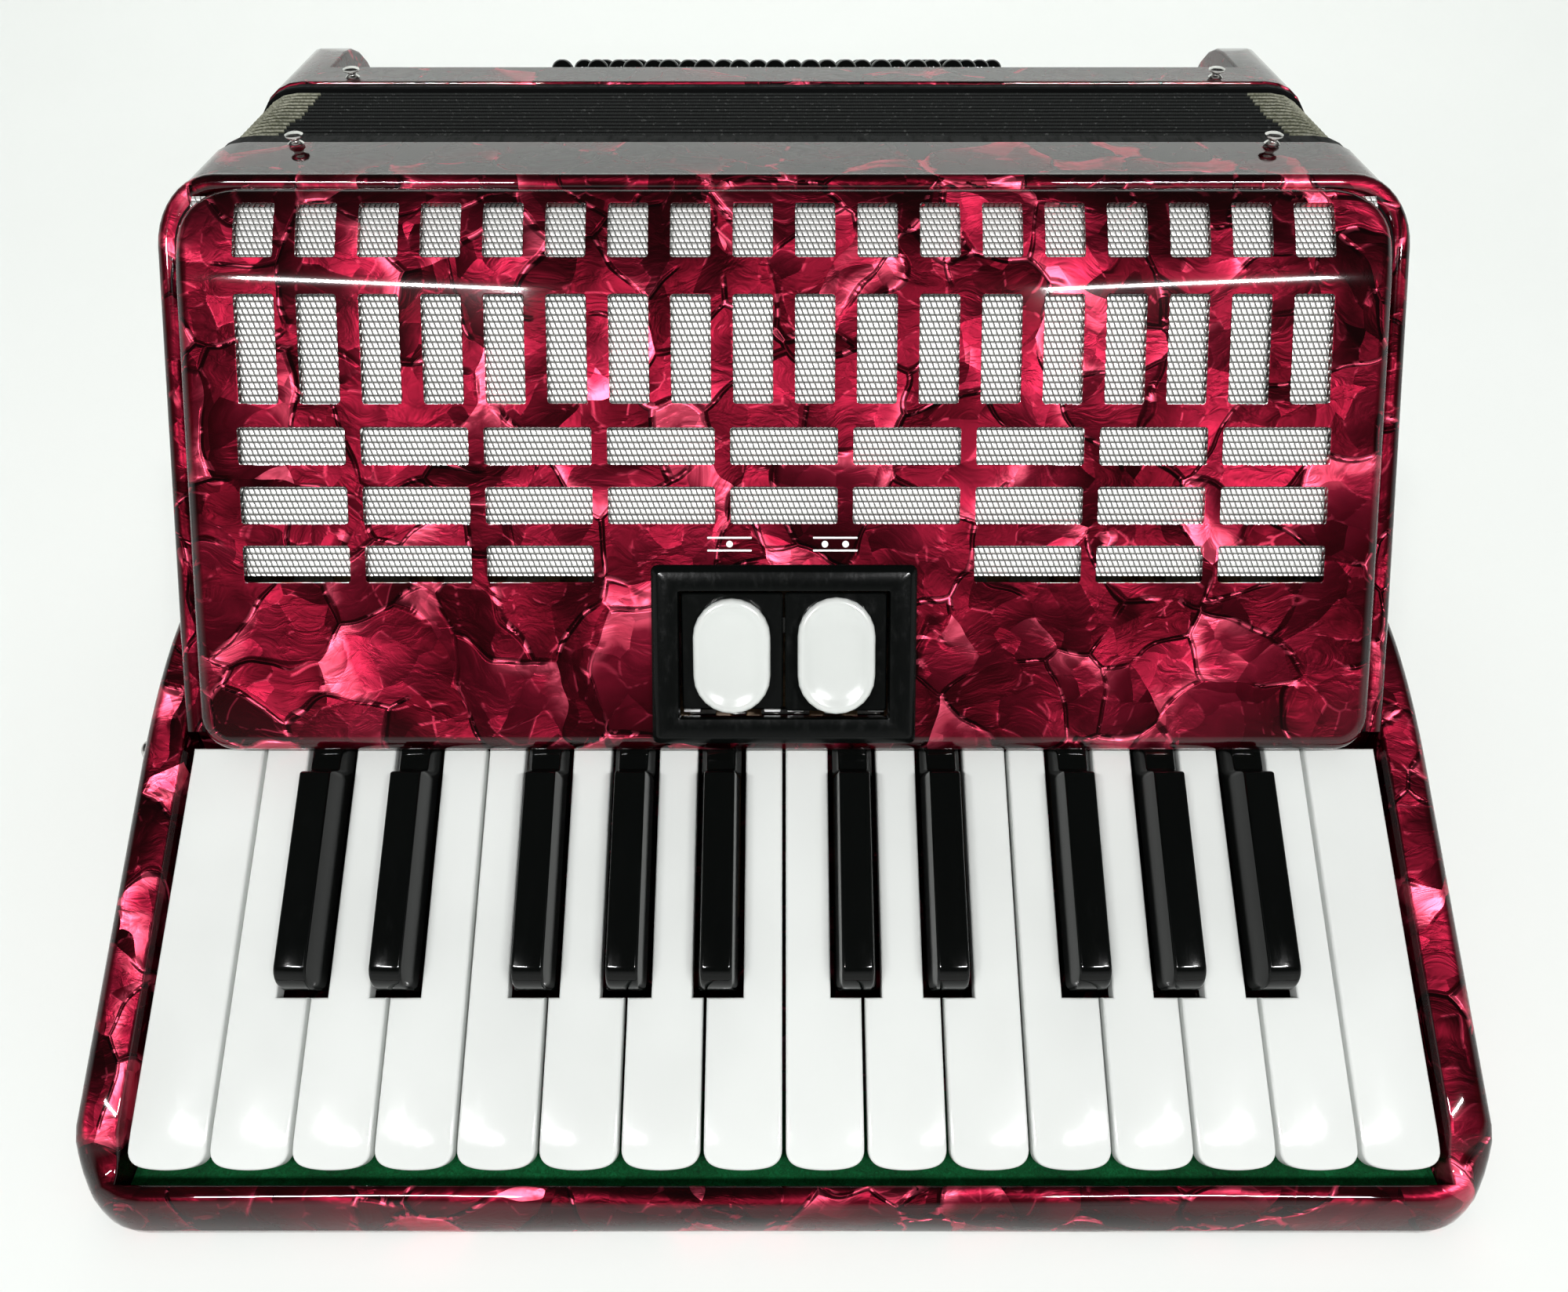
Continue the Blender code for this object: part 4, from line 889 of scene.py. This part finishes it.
def grille_cloth():
    """The metal cloth behind the windows, with its place on the cloth kept as a map for the pattern."""
    half = COVER_HALF - COVER_SHELL - 1.5
    low, high = BEZEL_START + BEZEL_HEIGHT - 3, FACE_LENGTH + BEND_LENGTH * 0.93
    bm = bmesh.new()
    cloth_map = bm.loops.layers.uv.new("cloth")
    stations = [low] + [FACE_LENGTH + (high - FACE_LENGTH) * share for share in shares(10)]
    columns = [half * (2 * share - 1) for share in shares(30)]
    places, rims = {}, []
    for n in (COVER_SHELL + 0.3, COVER_SHELL + 1.1):
        grid = [[bm.verts.new(on_cover(x, s, n)) for x in columns] for s in stations]
        for row, s in zip(grid, stations):
            places.update({vert: (x * MM, s * MM) for vert, x in zip(row, columns)})
        for lower, upper in zip(grid, grid[1:]):
            for j in range(len(columns) - 1):
                bm.faces.new((lower[j], lower[j + 1], upper[j + 1], upper[j]))
        up, down = [row[-1] for row in grid[1:-1]], [row[0] for row in grid[-2:0:-1]]
        rims.append(grid[0] + up + grid[-1][::-1] + down)
    bridge(bm, *rims)
    for face in bm.faces:
        for loop in face.loops:
            loop[cloth_map].uv = places[loop.vert]
    settle(made("metal_cloth", bm, "metal_cloth"), TREBLE, "metal_cloth", "grille_mesh")


# Register switches

SWITCH_TILT = radians(5.0)
SIGN_PLACE, SIGN_HALF, STAVE_HALF, DOT_RADIUS = 53.3, 5.6, 1.6, 0.85


def register_signs():
    """The white marks over the switches: a stave of two lines with one dot, or with two."""
    for name, x, dots in (("left", -13.7, (0.0,)), ("right", 12.9, (-2.6, 2.6))):
        bm = bmesh.new()
        for s in (SIGN_PLACE - STAVE_HALF, SIGN_PLACE + STAVE_HALF):
            outline = rounded_rectangle(x - SIGN_HALF, x + SIGN_HALF, s - 0.24, s + 0.24, 0.1, 1)
            prism(bm, on_face, outline, (0.05, -0.06))
        for dot in dots:
            ring = [(x + dot + DOT_RADIUS * cos(t), SIGN_PLACE + DOT_RADIUS * sin(t)) for t in circle(16)]
            prism(bm, on_face, ring, (0.05, -0.06))
        settle(made(f"register_sign_{name}", bm, "ink"), TREBLE, "key_white")


def register_bezel():
    """A chamfered black surround with a square inner edge."""

    def ring(inset, n, radius):
        half, low, high = BEZEL_WIDTH / 2 - inset, BEZEL_START + inset, BEZEL_START + BEZEL_HEIGHT - inset
        return layer(on_face, rounded_rectangle(-half, half, low, high, radius, 3), n)

    def hole(grow, n):
        half = BEZEL_OPEN_WIDTH / 2 + grow
        return layer(on_face, rounded_rectangle(-half, half, OPEN_LOW - grow, OPEN_HIGH + grow, 0.6, 3), n)

    top = -BEZEL_PROUD
    outside = ((0.3, -0.3, 1.4), (0.0, -0.6, 1.6), (0.0, top + 1.7, 1.6), (0.25, top + 1.3, 1.5))
    outside += ((1.5, top + 0.15, 1.0), (1.9, top, 0.9))
    inside = ((0.35, top), (0.1, top + 0.1), (0.0, top + 0.4), (0.0, 1.0), (0.8, 1.0), (0.8, -0.3))
    rings = [ring(*size) for size in outside] + [hole(*size) for size in inside]
    on_body("switch_surround", rings, "black_plastic", TREBLE, "register_bezel", closed=True, smooth=25.0)


def oval(x, middle, width, length, inset):
    radius = width / 2 - inset
    straight = length / 2 - width / 2
    points = []
    for k, turn in enumerate(circle(24)):
        lift = straight if k <= 12 else -straight
        points.append((x + radius * cos(turn), middle + lift + radius * sin(turn)))
    points.insert(13, (x - radius, middle - straight))
    points.append((x + radius, middle - straight))
    return points


def tilted(obj, side):
    """The left switch is pressed at rest: its mesh takes the same turn about the hinge as the node's."""
    if side != "left":
        return obj
    hinge = [j for j in frame["joints"] if j["name"] == "register_left_hinge"][0]["pos_m"]
    pivot = Vector(hinge)
    for vert in obj.data.vertices:
        y, z = vert.co.y - pivot.y, vert.co.z - pivot.z
        vert.co.y = pivot.y + y * cos(SWITCH_TILT) - z * sin(SWITCH_TILT)
        vert.co.z = pivot.z + y * sin(SWITCH_TILT) + z * cos(SWITCH_TILT)
    return obj


def registers():
    low, high, middle = OPEN_LOW, OPEN_HIGH, (OPEN_LOW + OPEN_HIGH) / 2
    cap_profile = (
        (0.5, -1.3), (0.2, -2.2), (0.05, -4.4), (0.2, -5.2), (0.65, -5.75), (1.3, -5.9),
        (2.1, -5.75), (3.0, -5.35), (4.3, -5.0), (6.0, -4.8), (8.2, -4.72),
    )
    for side, sign in (("left", -1), ("right", 1)):
        inner, outer = sign * 0.3, sign * (BEZEL_OPEN_WIDTH / 2 - 0.6)
        x = (inner + outer) / 2
        half = abs(outer - inner) / 2
        plate = []
        for inset, n in ((0.3, 1.6), (0.0, 1.3), (0.0, -0.7), (0.3, -1.0)):
            wide, foot, head = half - inset, low + 1.7 + inset, high - 0.6 - inset
            plate.append(layer(on_face, rounded_rectangle(x - wide, x + wide, foot, head, 0.7, 3), n))
        body = f"register_{side}"
        piece = tilted(lofted(f"switch_plate_{side}", plate, "black_plastic"), side)
        settle(piece, body, "black_plastic", f"register_switch_{side}")
        rings = [layer(on_face, oval(x, middle, 19.6, 29.6, inset), n) for inset, n in cap_profile]
        cap = tilted(lofted(f"switch_cap_{side}", rings, "cap_white", smooth=60.0), side)
        settle(cap, body, "key_white", f"register_cap_{side}")
    bm = bmesh.new()
    for sign in (-1, 1):
        for x in (sign * (BEZEL_OPEN_WIDTH / 2 - 0.7), sign * 0.9):
            toward = -sign if abs(x) > 5 else sign
            for wide, rise, levels in ((4.2, 2.2, (5.6, 4.5)), (0.9, 4.6, (5.7, 4.4))):
                a0, a1 = sorted((x, x + toward * wide))
                prism(bm, on_face, rounded_rectangle(a0, a1, low + 0.5, low + rise, 0.2, 2), levels)
    settle(made("switch_carrier", bm, "ink"), TREBLE, "key_white")


# Casings


def case_section(inset, per_corner=8):
    """Outline of the casings and the bellows in X and Z, from the lower right corner round to the left."""
    half, low, high = CASE_HALF - inset, inset, CASE_TOP - inset
    large, small = max(15.0 - inset, 1.5), max(8.0 - inset, 1.0)
    places = (
        (half - small, low + small, small, -90),
        (half - large, high - large, large, 0),
        (-half + large, high - large, large, 90),
        (-half + small, low + small, small, 180),
    )
    return arcs(places, per_corner)


def tube(name, path, radius, look, sides=12):
    """A closed tube along points, with its ends capped."""
    rings = []
    for i, here in enumerate(path):
        ahead = path[min(i + 1, len(path) - 1)] - path[max(i - 1, 0)]
        ahead.normalize()
        side = ahead.cross(Vector((0, 0.81, -0.585)))
        side.normalize()
        up = side.cross(ahead)
        turns = circle(sides)
        rings.append([here + (side * cos(t) + up * sin(t)) * radius * MM for t in turns])
    return lofted(name, rings, look, smooth=60.0)


def face_loop(inset, depth):
    """Points round the top and the sides of the casing's slanting front, behind the face by depth."""
    face = on_face(0, 0, depth) / MM
    path = []
    for x, z in case_section(inset, per_corner=10):
        p = (z - face.z) / sin(FACE_SLOPE)
        if p > -2.0:
            path.append(on_face(x, p, depth))
    path.insert(0, on_face(path[0].x / MM, 4.0, depth))
    path.append(on_face(path[-1].x / MM, 4.0, depth))
    dense = []
    for a, b in zip(path, path[1:]):
        count = max(1, int((b - a).length / (12 * MM)))
        dense += [a.lerp(b, k / count) for k in range(count)]
    return dense + [path[-1]]


def treble_casing():
    softened("treble_casing", "treble_shell", "pearl_red", TREBLE, 0.6, 2, 50)
    bead = face_loop(2.5, COVER_DEPTH + 1.2)
    settle(tube("treble_bead", bead, 2.8, "pearl_red", 16), TREBLE, "pearl_red")
    # A near black tube in the groove between the bead and the cover: painted shade for the dark gap there.
    groove_shade_loop = face_loop(6.0, COVER_DEPTH + 0.8)
    settle(tube("groove_shade_strip", groove_shade_loop, 2.2, "bellows_valley", 12), TREBLE, "bellows_card")


def bellows():
    """Fourteen folds of cloth-covered card, with leather over the corners and painted shade down the folds'
    sides.
    """
    low, high, _ = corners("bellows")
    folds = 14
    stops = (0.0, 0.16, 0.30, 0.39, 0.445, 0.48, 0.52, 0.555, 0.61, 0.70, 0.84)
    steps = len(stops)
    start, end = low.y, high.y
    pitch = (end - start) / folds
    corner_leg = 20.5
    bm = bmesh.new()
    rings = []
    dice = random.Random(4)
    legs = [corner_leg + dice.uniform(-0.8, 0.8) + 2.0 * k / folds for k in range(folds)]
    for k in range(folds * steps + 1):
        v = stops[k % steps]
        inset = 1.4 + 13.0 * abs(2 * v - 1) ** 1.35
        section = case_section(inset, per_corner=5)
        ring = []
        leg = legs[min(int(k / steps), folds - 1)]
        for i, (x, z) in enumerate(section):
            ring.append((x, z))
            if i % 6 == 5:
                nx, nz = section[(i + 1) % len(section)]
                run = hypot(nx - x, nz - z)
                extra = [leg - 15.0, leg - 14.5] if run > 60 else []
                cuts = [e / run for e in extra] + [0.25, 0.5, 0.75] + [1 - e / run for e in reversed(extra)]
                ring += [(x + (nx - x) * c, z + (nz - z) * c) for c in cuts]
        rings.append([point(x, start + pitch * (k // steps + v), z) for x, z in ring])
    skin(bm, rings)
    for face in [f for f in bm.faces if len(f.verts) > 4]:
        bm.faces.remove(face)
    inner = [[point(x, y, z) for x, z in case_section(17.0, per_corner=2)] for y in (start, end)]
    near, far = loops_of(bm, inner)
    bridge(bm, far, near)
    open_edges = [e for e in bm.edges if e.is_boundary]
    for y in (start, end):
        rim = [e for e in open_edges if all(abs(v.co.y / MM - y) < 0.01 for v in e.verts)]
        bmesh.ops.triangle_fill(bm, use_beauty=True, edges=rim, normal=(0, 1, 0))
    for face in bm.faces:
        middle = face.calc_center_median() / MM
        leg = legs[min(folds - 1, max(0, int((middle.y - start) / pitch)))]
        in_x = CASE_HALF - abs(middle.x) < leg
        in_z = CASE_TOP - middle.z < leg or middle.z < leg
        corner = len(face.verts) == 4 and in_x and in_z
        # Faces away from the fold tips take the darker looks: painted shade in the folds.
        v = (middle.y - start) / pitch % 1.0
        deep = abs(v - 0.5) > 0.05
        face.material_index = (1 if corner else 0) + (2 if deep else 0)
    looks = ("bellows_card", "corner_leather", "bellows_valley", "corner_leather_shade")
    obj = made("folded_bellows", bm, looks, 50.0)
    point(0, start, 0)
    point(0, end, 0)
    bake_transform(obj)
    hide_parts("bellows")


def bellows_frames():
    for node, body in (("treble_bellows_frame", TREBLE), ("bass_bellows_frame", BASS)):
        softened(node, f"{node}_ring", "frame_wood", body, 0.8)


def pins():
    """Spool-shaped pins that stand in the casings' tops."""
    profile = [(0.4, 0.0), (2.0, 0.0), (2.1, 0.25), (1.8, 0.55)]
    profile += [(1.2 + 0.6 * (abs(t) ** 1.8), 1.2 + 0.62 * t) for t in [k / 4 - 1 for k in range(1, 8)]]
    profile += [(2.2, 1.9), (2.4, 2.15), (2.35, 2.5), (1.6, 2.88), (0.4, 3.0)]
    for side in ("left", "right"):
        for part, body in (("treble", TREBLE), ("bass", BASS)):
            low, _, middle = corners(f"{part}_pin_{side}")
            rings = turned_rings(profile, point(middle.x, middle.y, low.z), (0, 0, 1), 28)
            on_body(f"{part}_spool_{side}", rings, "chrome", body, f"{part}_pin_{side}")
    _, high, middle = corners("frame_stud")
    base = point(high.x, middle.y, middle.z)
    profile = [(0.3, 0.0), (2.6, 0.0), (2.6, 1.0), (2.3, 1.6), (1.6, 2.1), (0.4, 2.35)]
    on_body("strap_stud", turned_rings(profile, base, (-1, 0, 0)), "chrome", TREBLE, "frame_stud")


# Bass side


def bass_casing():
    softened("bass_casing", "bass_shell", "pearl_red", BASS, 1.6, 4, 45)
    softened("bass_button_plate", "button_plate", "black_plastic", BASS, 0.35, 2, 50)


BUTTON_PITCH, BUTTON_SHIFT, BUTTON_RADIUS, BUTTON_DOME = 11.0, 5.5, 3.4, 5.0
ROW_PITCH, FIRST_ROW, BOARD_BACK, BOARD_DROP = 9.2, 6.0, 15.1, 6.3


def on_board(x, s, n):
    """s down the button board from its upper edge, n above it."""
    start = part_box("bass_casing")[0].y / MM + BOARD_BACK
    return on_slope(x, start, CASE_TOP - BOARD_DROP, -BOARD_SLOPE, s, n)


def bass_buttons():
    """Four rows of twelve domed buttons; the C button of the second row has a dimple."""
    normal = (0, sin(BOARD_SLOPE), cos(BOARD_SLOPE))
    for row in range(4):
        bm = bmesh.new()
        places = [(c - 5.5) * BUTTON_PITCH + (row - 1.5) * BUTTON_SHIFT for c in range(12)]
        s = FIRST_ROW + ROW_PITCH * row
        for number, x in enumerate(places):
            profile = [(3.0, -4.6), (BUTTON_RADIUS, -4.4), (BUTTON_RADIUS, BUTTON_DOME)]
            profile += [(0.2 + 3.2 * cos(t), BUTTON_DOME + 3.0 * sin(t)) for t in quarter(8)[1:-1]]
            if row == 1 and number == 4:
                profile += [(0.9, 7.7), (0.5, 7.3), (0.15, 7.2)]
            skin(bm, turned_rings(profile, on_board(x, s, 0), normal, 24))
        outline = rounded_rectangle(places[0] - 5, places[-1] + 5, s - 2.6, s + 2.6, 0.8, 3)
        prism(bm, on_board, outline, (-6.6, -3.6))
        body = f"bass_buttons_row_{row + 1}"
        settle(made(f"button_row_{row + 1}", bm, "key_black", 50.0), body, "key_black", body)


def end_fittings(name, look, profile, spots, sides):
    """Turned fittings on the outside of the end plate."""
    bm = bmesh.new()
    for spot in spots:
        skin(bm, turned_rings(profile, spot, (0, 1, 0), sides))
    settle(made(name, bm, look), BASS, look)


def bass_end():
    """End plate with screws and rubber feet, the air button and the strap's wheel."""
    softened("bass_end_plate", "end_plate", "black_plastic", BASS, 0.9)
    low, high, _ = corners("bass_end_plate")
    seat = high.y - 0.2
    dome = [(0.3, 0.0), (2.9, 0.0), (2.9, 0.3), (2.3, 0.95), (1.2, 1.3), (0.3, 1.35)]
    columns, levels = (low.x + 9, 0.0, high.x - 9), (low.z + 9, high.z - 8)
    end_fittings("end_plate_screws", "chrome", dome, [point(x, seat, z) for x in columns for z in levels], 20)
    foot = [(0.4, 0.0), (6.5, 0.0), (6.6, 0.6), (5.6, 5.0), (5.0, 5.8), (3.4, 6.0), (2.6, 5.0), (0.4, 4.9)]
    columns, levels = (low.x + 24, high.x - 24), (low.z + 14, high.z - 13)
    spots = [point(x, seat, z) for x in columns for z in levels]
    end_fittings("end_plate_feet", "black_plastic", foot, spots, 28)
    low, _, middle = corners("air_button")
    base = point(middle.x, low.y, middle.z)
    profile = [(0.4, 0.0), (6.0, 0.0), (6.0, 12.4), (5.7, 13.6), (4.9, 14.3), (3.2, 14.2), (0.5, 13.9)]
    rings = turned_rings(profile, base, (0, 1, 0), 32)
    on_body("air_push", rings, "key_black", "air_button", "air_button")
    _, high, middle = corners("strap_wheel")
    base = point(high.x, middle.y, middle.z)
    rings = []
    profile = [(9.6, 0), (10.4, 0.5), (11.0, 1.3), (11.0, 4.7)]
    profile += [(10.4, 5.5), (9.6, 6.0), (5.0, 5.6), (0.5, 5.5)]
    for radius, height in profile:
        ring = []
        for turn in circle(108):
            r = radius + (0.35 * (cos(turn * 36) - 1) if radius > 10 else 0.0)
            ring.append(base + point(-height, r * cos(turn), r * sin(turn)))
        rings.append(ring)
    on_body("knurled_wheel", rings, "black_plastic", "strap_wheel", "strap_wheel")


def bass_strap():
    """A padded leather band arched over the end plate, with a row of stitches along each side."""
    low, high, centre_place = corners("bass_strap")
    half, flat, thick = 140.0, 14.0, 3.5
    bulge = high.y - low.y - thick
    middle, wide = centre_place.z, (high.z - low.z) / 2

    def centre(x):
        if abs(x) > half - flat:
            return 0.0
        return bulge * cos(pi / 2 * x / (half - flat)) ** 0.8

    def place(x, n, z):
        step = 0.5
        lean = atan2(centre(x + step) - centre(x - step), 2 * step)
        return point(x - n * sin(lean), low.y + centre(x) + n * cos(lean), z)

    rings = []
    for share in shares(96):
        x = half * sin(pi / 2 * (2 * share - 1)) * 0.999
        pad = 1.0 if abs(x) < half - 35 else 0.0
        section = []
        for i in range(17):
            t = -1 + i / 8
            crown = 0.35 + (thick - 0.35) * (1 - abs(t) ** 10) ** 0.5
            groove = 0.45 * exp(-(((abs(t) - 0.86) / 0.025) ** 2))
            section.append((crown - groove + 0.25 * pad * cos(pi / 2 * t), middle + wide * t))
        section += [(0.1, middle + wide * (1 - i / 4)) for i in range(9)]
        rings.append([place(x, n, z) for n, z in section])
    on_body("wrist_strap", rings, "strap_leather", BASS, "bass_strap", smooth=60.0)
    bm = bmesh.new()
    count = 64
    for side in (-1, 1):
        z = middle + side * wide * 0.86
        for k in range(count):
            x = (half - 8) * (2 * (k + 0.5) / count - 1)
            reach = (half - 8) / count * 0.66
            ring_sets = []
            for a, size in ((-1.0, 0.15), (-0.75, 0.3), (0.0, 0.36), (0.75, 0.3), (1.0, 0.15)):
                here = x + a * reach
                ring = []
                for turn in circle(6):
                    lift = thick - 0.25 + size * cos(turn) + 0.1 * (1 - a * a)
                    ring.append(place(here, lift, z + size * sin(turn)))
                ring_sets.append(ring)
            skin(bm, ring_sets)
    settle(made("strap_stitches", bm, "thread"), BASS, "strap_leather")
    for name, side in (("left", -1), ("right", 1)):
        x0, x1 = sorted((side * (half - 9), side * (half + 1.0)))
        rings = []
        for n, inset in ((0.1, 0.0), (4.3, 0.0), (4.9, 0.3), (5.1, 0.9)):
            foot, head = low.z - 3 + inset, high.z + 3 - inset
            outline = rounded_rectangle(x0 + inset, x1 - inset, foot, head, 2.0, 4)
            rings.append([point(a, low.y + n, b) for a, b in outline])
        on_body(f"strap_bracket_{name}", rings, "chrome", BASS)


# Nodes that keep their own shape


def keep_nodes():
    """Inner parts and the felt keep the frame's meshes, with their own materials."""
    wooden = ("foundation_plate", "treble_reed_block_low", "treble_reed_block_high", "bass_reed_block")
    kept = [(node, "reed_wood") for node in wooden]
    kept += [("key_axle", "chrome"), ("key_spring_comb", "chrome"), ("key_felt", "felt_green")]
    for node, look in kept:
        mesh = NODES[node].data
        mesh.materials.clear()
        mesh.materials.append(LOOKS[look])


# Stage, light and camera


def stage():
    """A pale floor that curves up behind, so that the pearl mirrors white at a low angle."""
    bm = bmesh.new()
    profile = [(-1.6, 0.0), (1.5, 0.0)]
    profile += [(1.5 + 0.7 * sin(t), 0.7 - 0.7 * cos(t)) for t in quarter(10)[1:]]
    profile.append((2.2, 2.0))
    rows = [[bm.verts.new((x, y, z)) for y, z in profile] for x in (-2.6, 2.6)]
    for i in range(len(profile) - 1):
        bm.faces.new((rows[0][i], rows[1][i], rows[1][i + 1], rows[0][i + 1]))
    mesh = bpy.data.meshes.new("studio_floor")
    bm.to_mesh(mesh)
    bm.free()
    mesh.shade_smooth()
    floor = linked("studio_floor", mesh)
    tree = Tree("studio_floor")
    tone = tree.noise(3.0, 2.0)
    tree.set(Base_Color=tree.mix(tone, (0.86, 0.89, 0.86), (0.90, 0.925, 0.90)), Roughness=0.7)
    mesh.materials.append(tree.material)


def area_light(name, place, target, width, height, power, glossy=True):
    data = bpy.data.lights.new(name, "AREA")
    data.shape = "RECTANGLE"
    data.size, data.size_y = width, height
    data.energy = power
    light = linked(name, data)
    light.location = place
    light.rotation_euler = (Vector(target) - Vector(place)).to_track_quat("-Z", "Y").to_euler()
    light.visible_glossy = glossy
    return light


def lights():
    """Two strip lamps before the keyboard give the highlights, each with a second strip that only
    glossy skins mirror; large panels that glossy skins don't mirror give the even light; the sky is
    white at the horizon and dark overhead."""
    aim = (0, -0.02, 0.1)
    for name, x in (("left_lamp", -0.98), ("right_lamp", 0.98)):
        area_light(name, (x, -1.78, 2.20), aim, 0.70, 0.03, 38)
        sheen = area_light(f"{name}_sheen", (x, -1.79, 2.21), aim, 0.70, 0.03, 80)
        sheen.visible_diffuse = False
    area_light("overhead", (0, 0.2, 1.9), (0, 0, 0), 2.6, 2.2, 9, glossy=False)
    area_light("front_panel", (0, -1.6, 1.1), (0, 0, 0.05), 2.2, 1.0, 4.4, glossy=False)
    area_light("backdrop_panel", (0, 0.9, 1.5), (0, 2.2, 0.5), 2.4, 0.8, 12, glossy=False)
    world = bpy.data.worlds.new("studio")
    world.use_nodes = True
    nodes, links = world.node_tree.nodes, world.node_tree.links
    split = nodes.new("ShaderNodeSeparateXYZ")
    links.new(nodes.new("ShaderNodeTexCoord").outputs["Generated"], split.inputs[0])
    sky = nodes.new("ShaderNodeValToRGB")
    links.new(split.outputs["Z"], sky.inputs[0])
    for element, height, level in zip(sky.color_ramp.elements, (0.14, 0.42), (0.95, 0.045)):
        element.position = height
        element.color = (level * 0.98, level, level * 0.985, 1)
    links.new(sky.outputs[0], nodes["Background"].inputs["Color"])
    bpy.context.scene.world = world


def camera():
    data = bpy.data.cameras.new("camera")
    data.lens = 27.0
    data.sensor_width = 36.0
    data.clip_start = 0.01
    obj = linked("camera", data)
    obj.location = (0.0, -0.2857, 0.2947)
    obj.rotation_euler = (radians(90 - 42.41), 0, 0)
    bpy.context.scene.camera = obj
    bpy.context.scene.view_settings.view_transform = "Standard"


for build in (
    camera, keyboard, keyboard_frame, grille_cover, grille_cloth, register_signs, register_bezel, registers,
    treble_casing, bellows, bellows_frames, pins, bass_casing, bass_buttons, bass_end, bass_strap,
    keep_nodes, stage, lights,
):
    build()
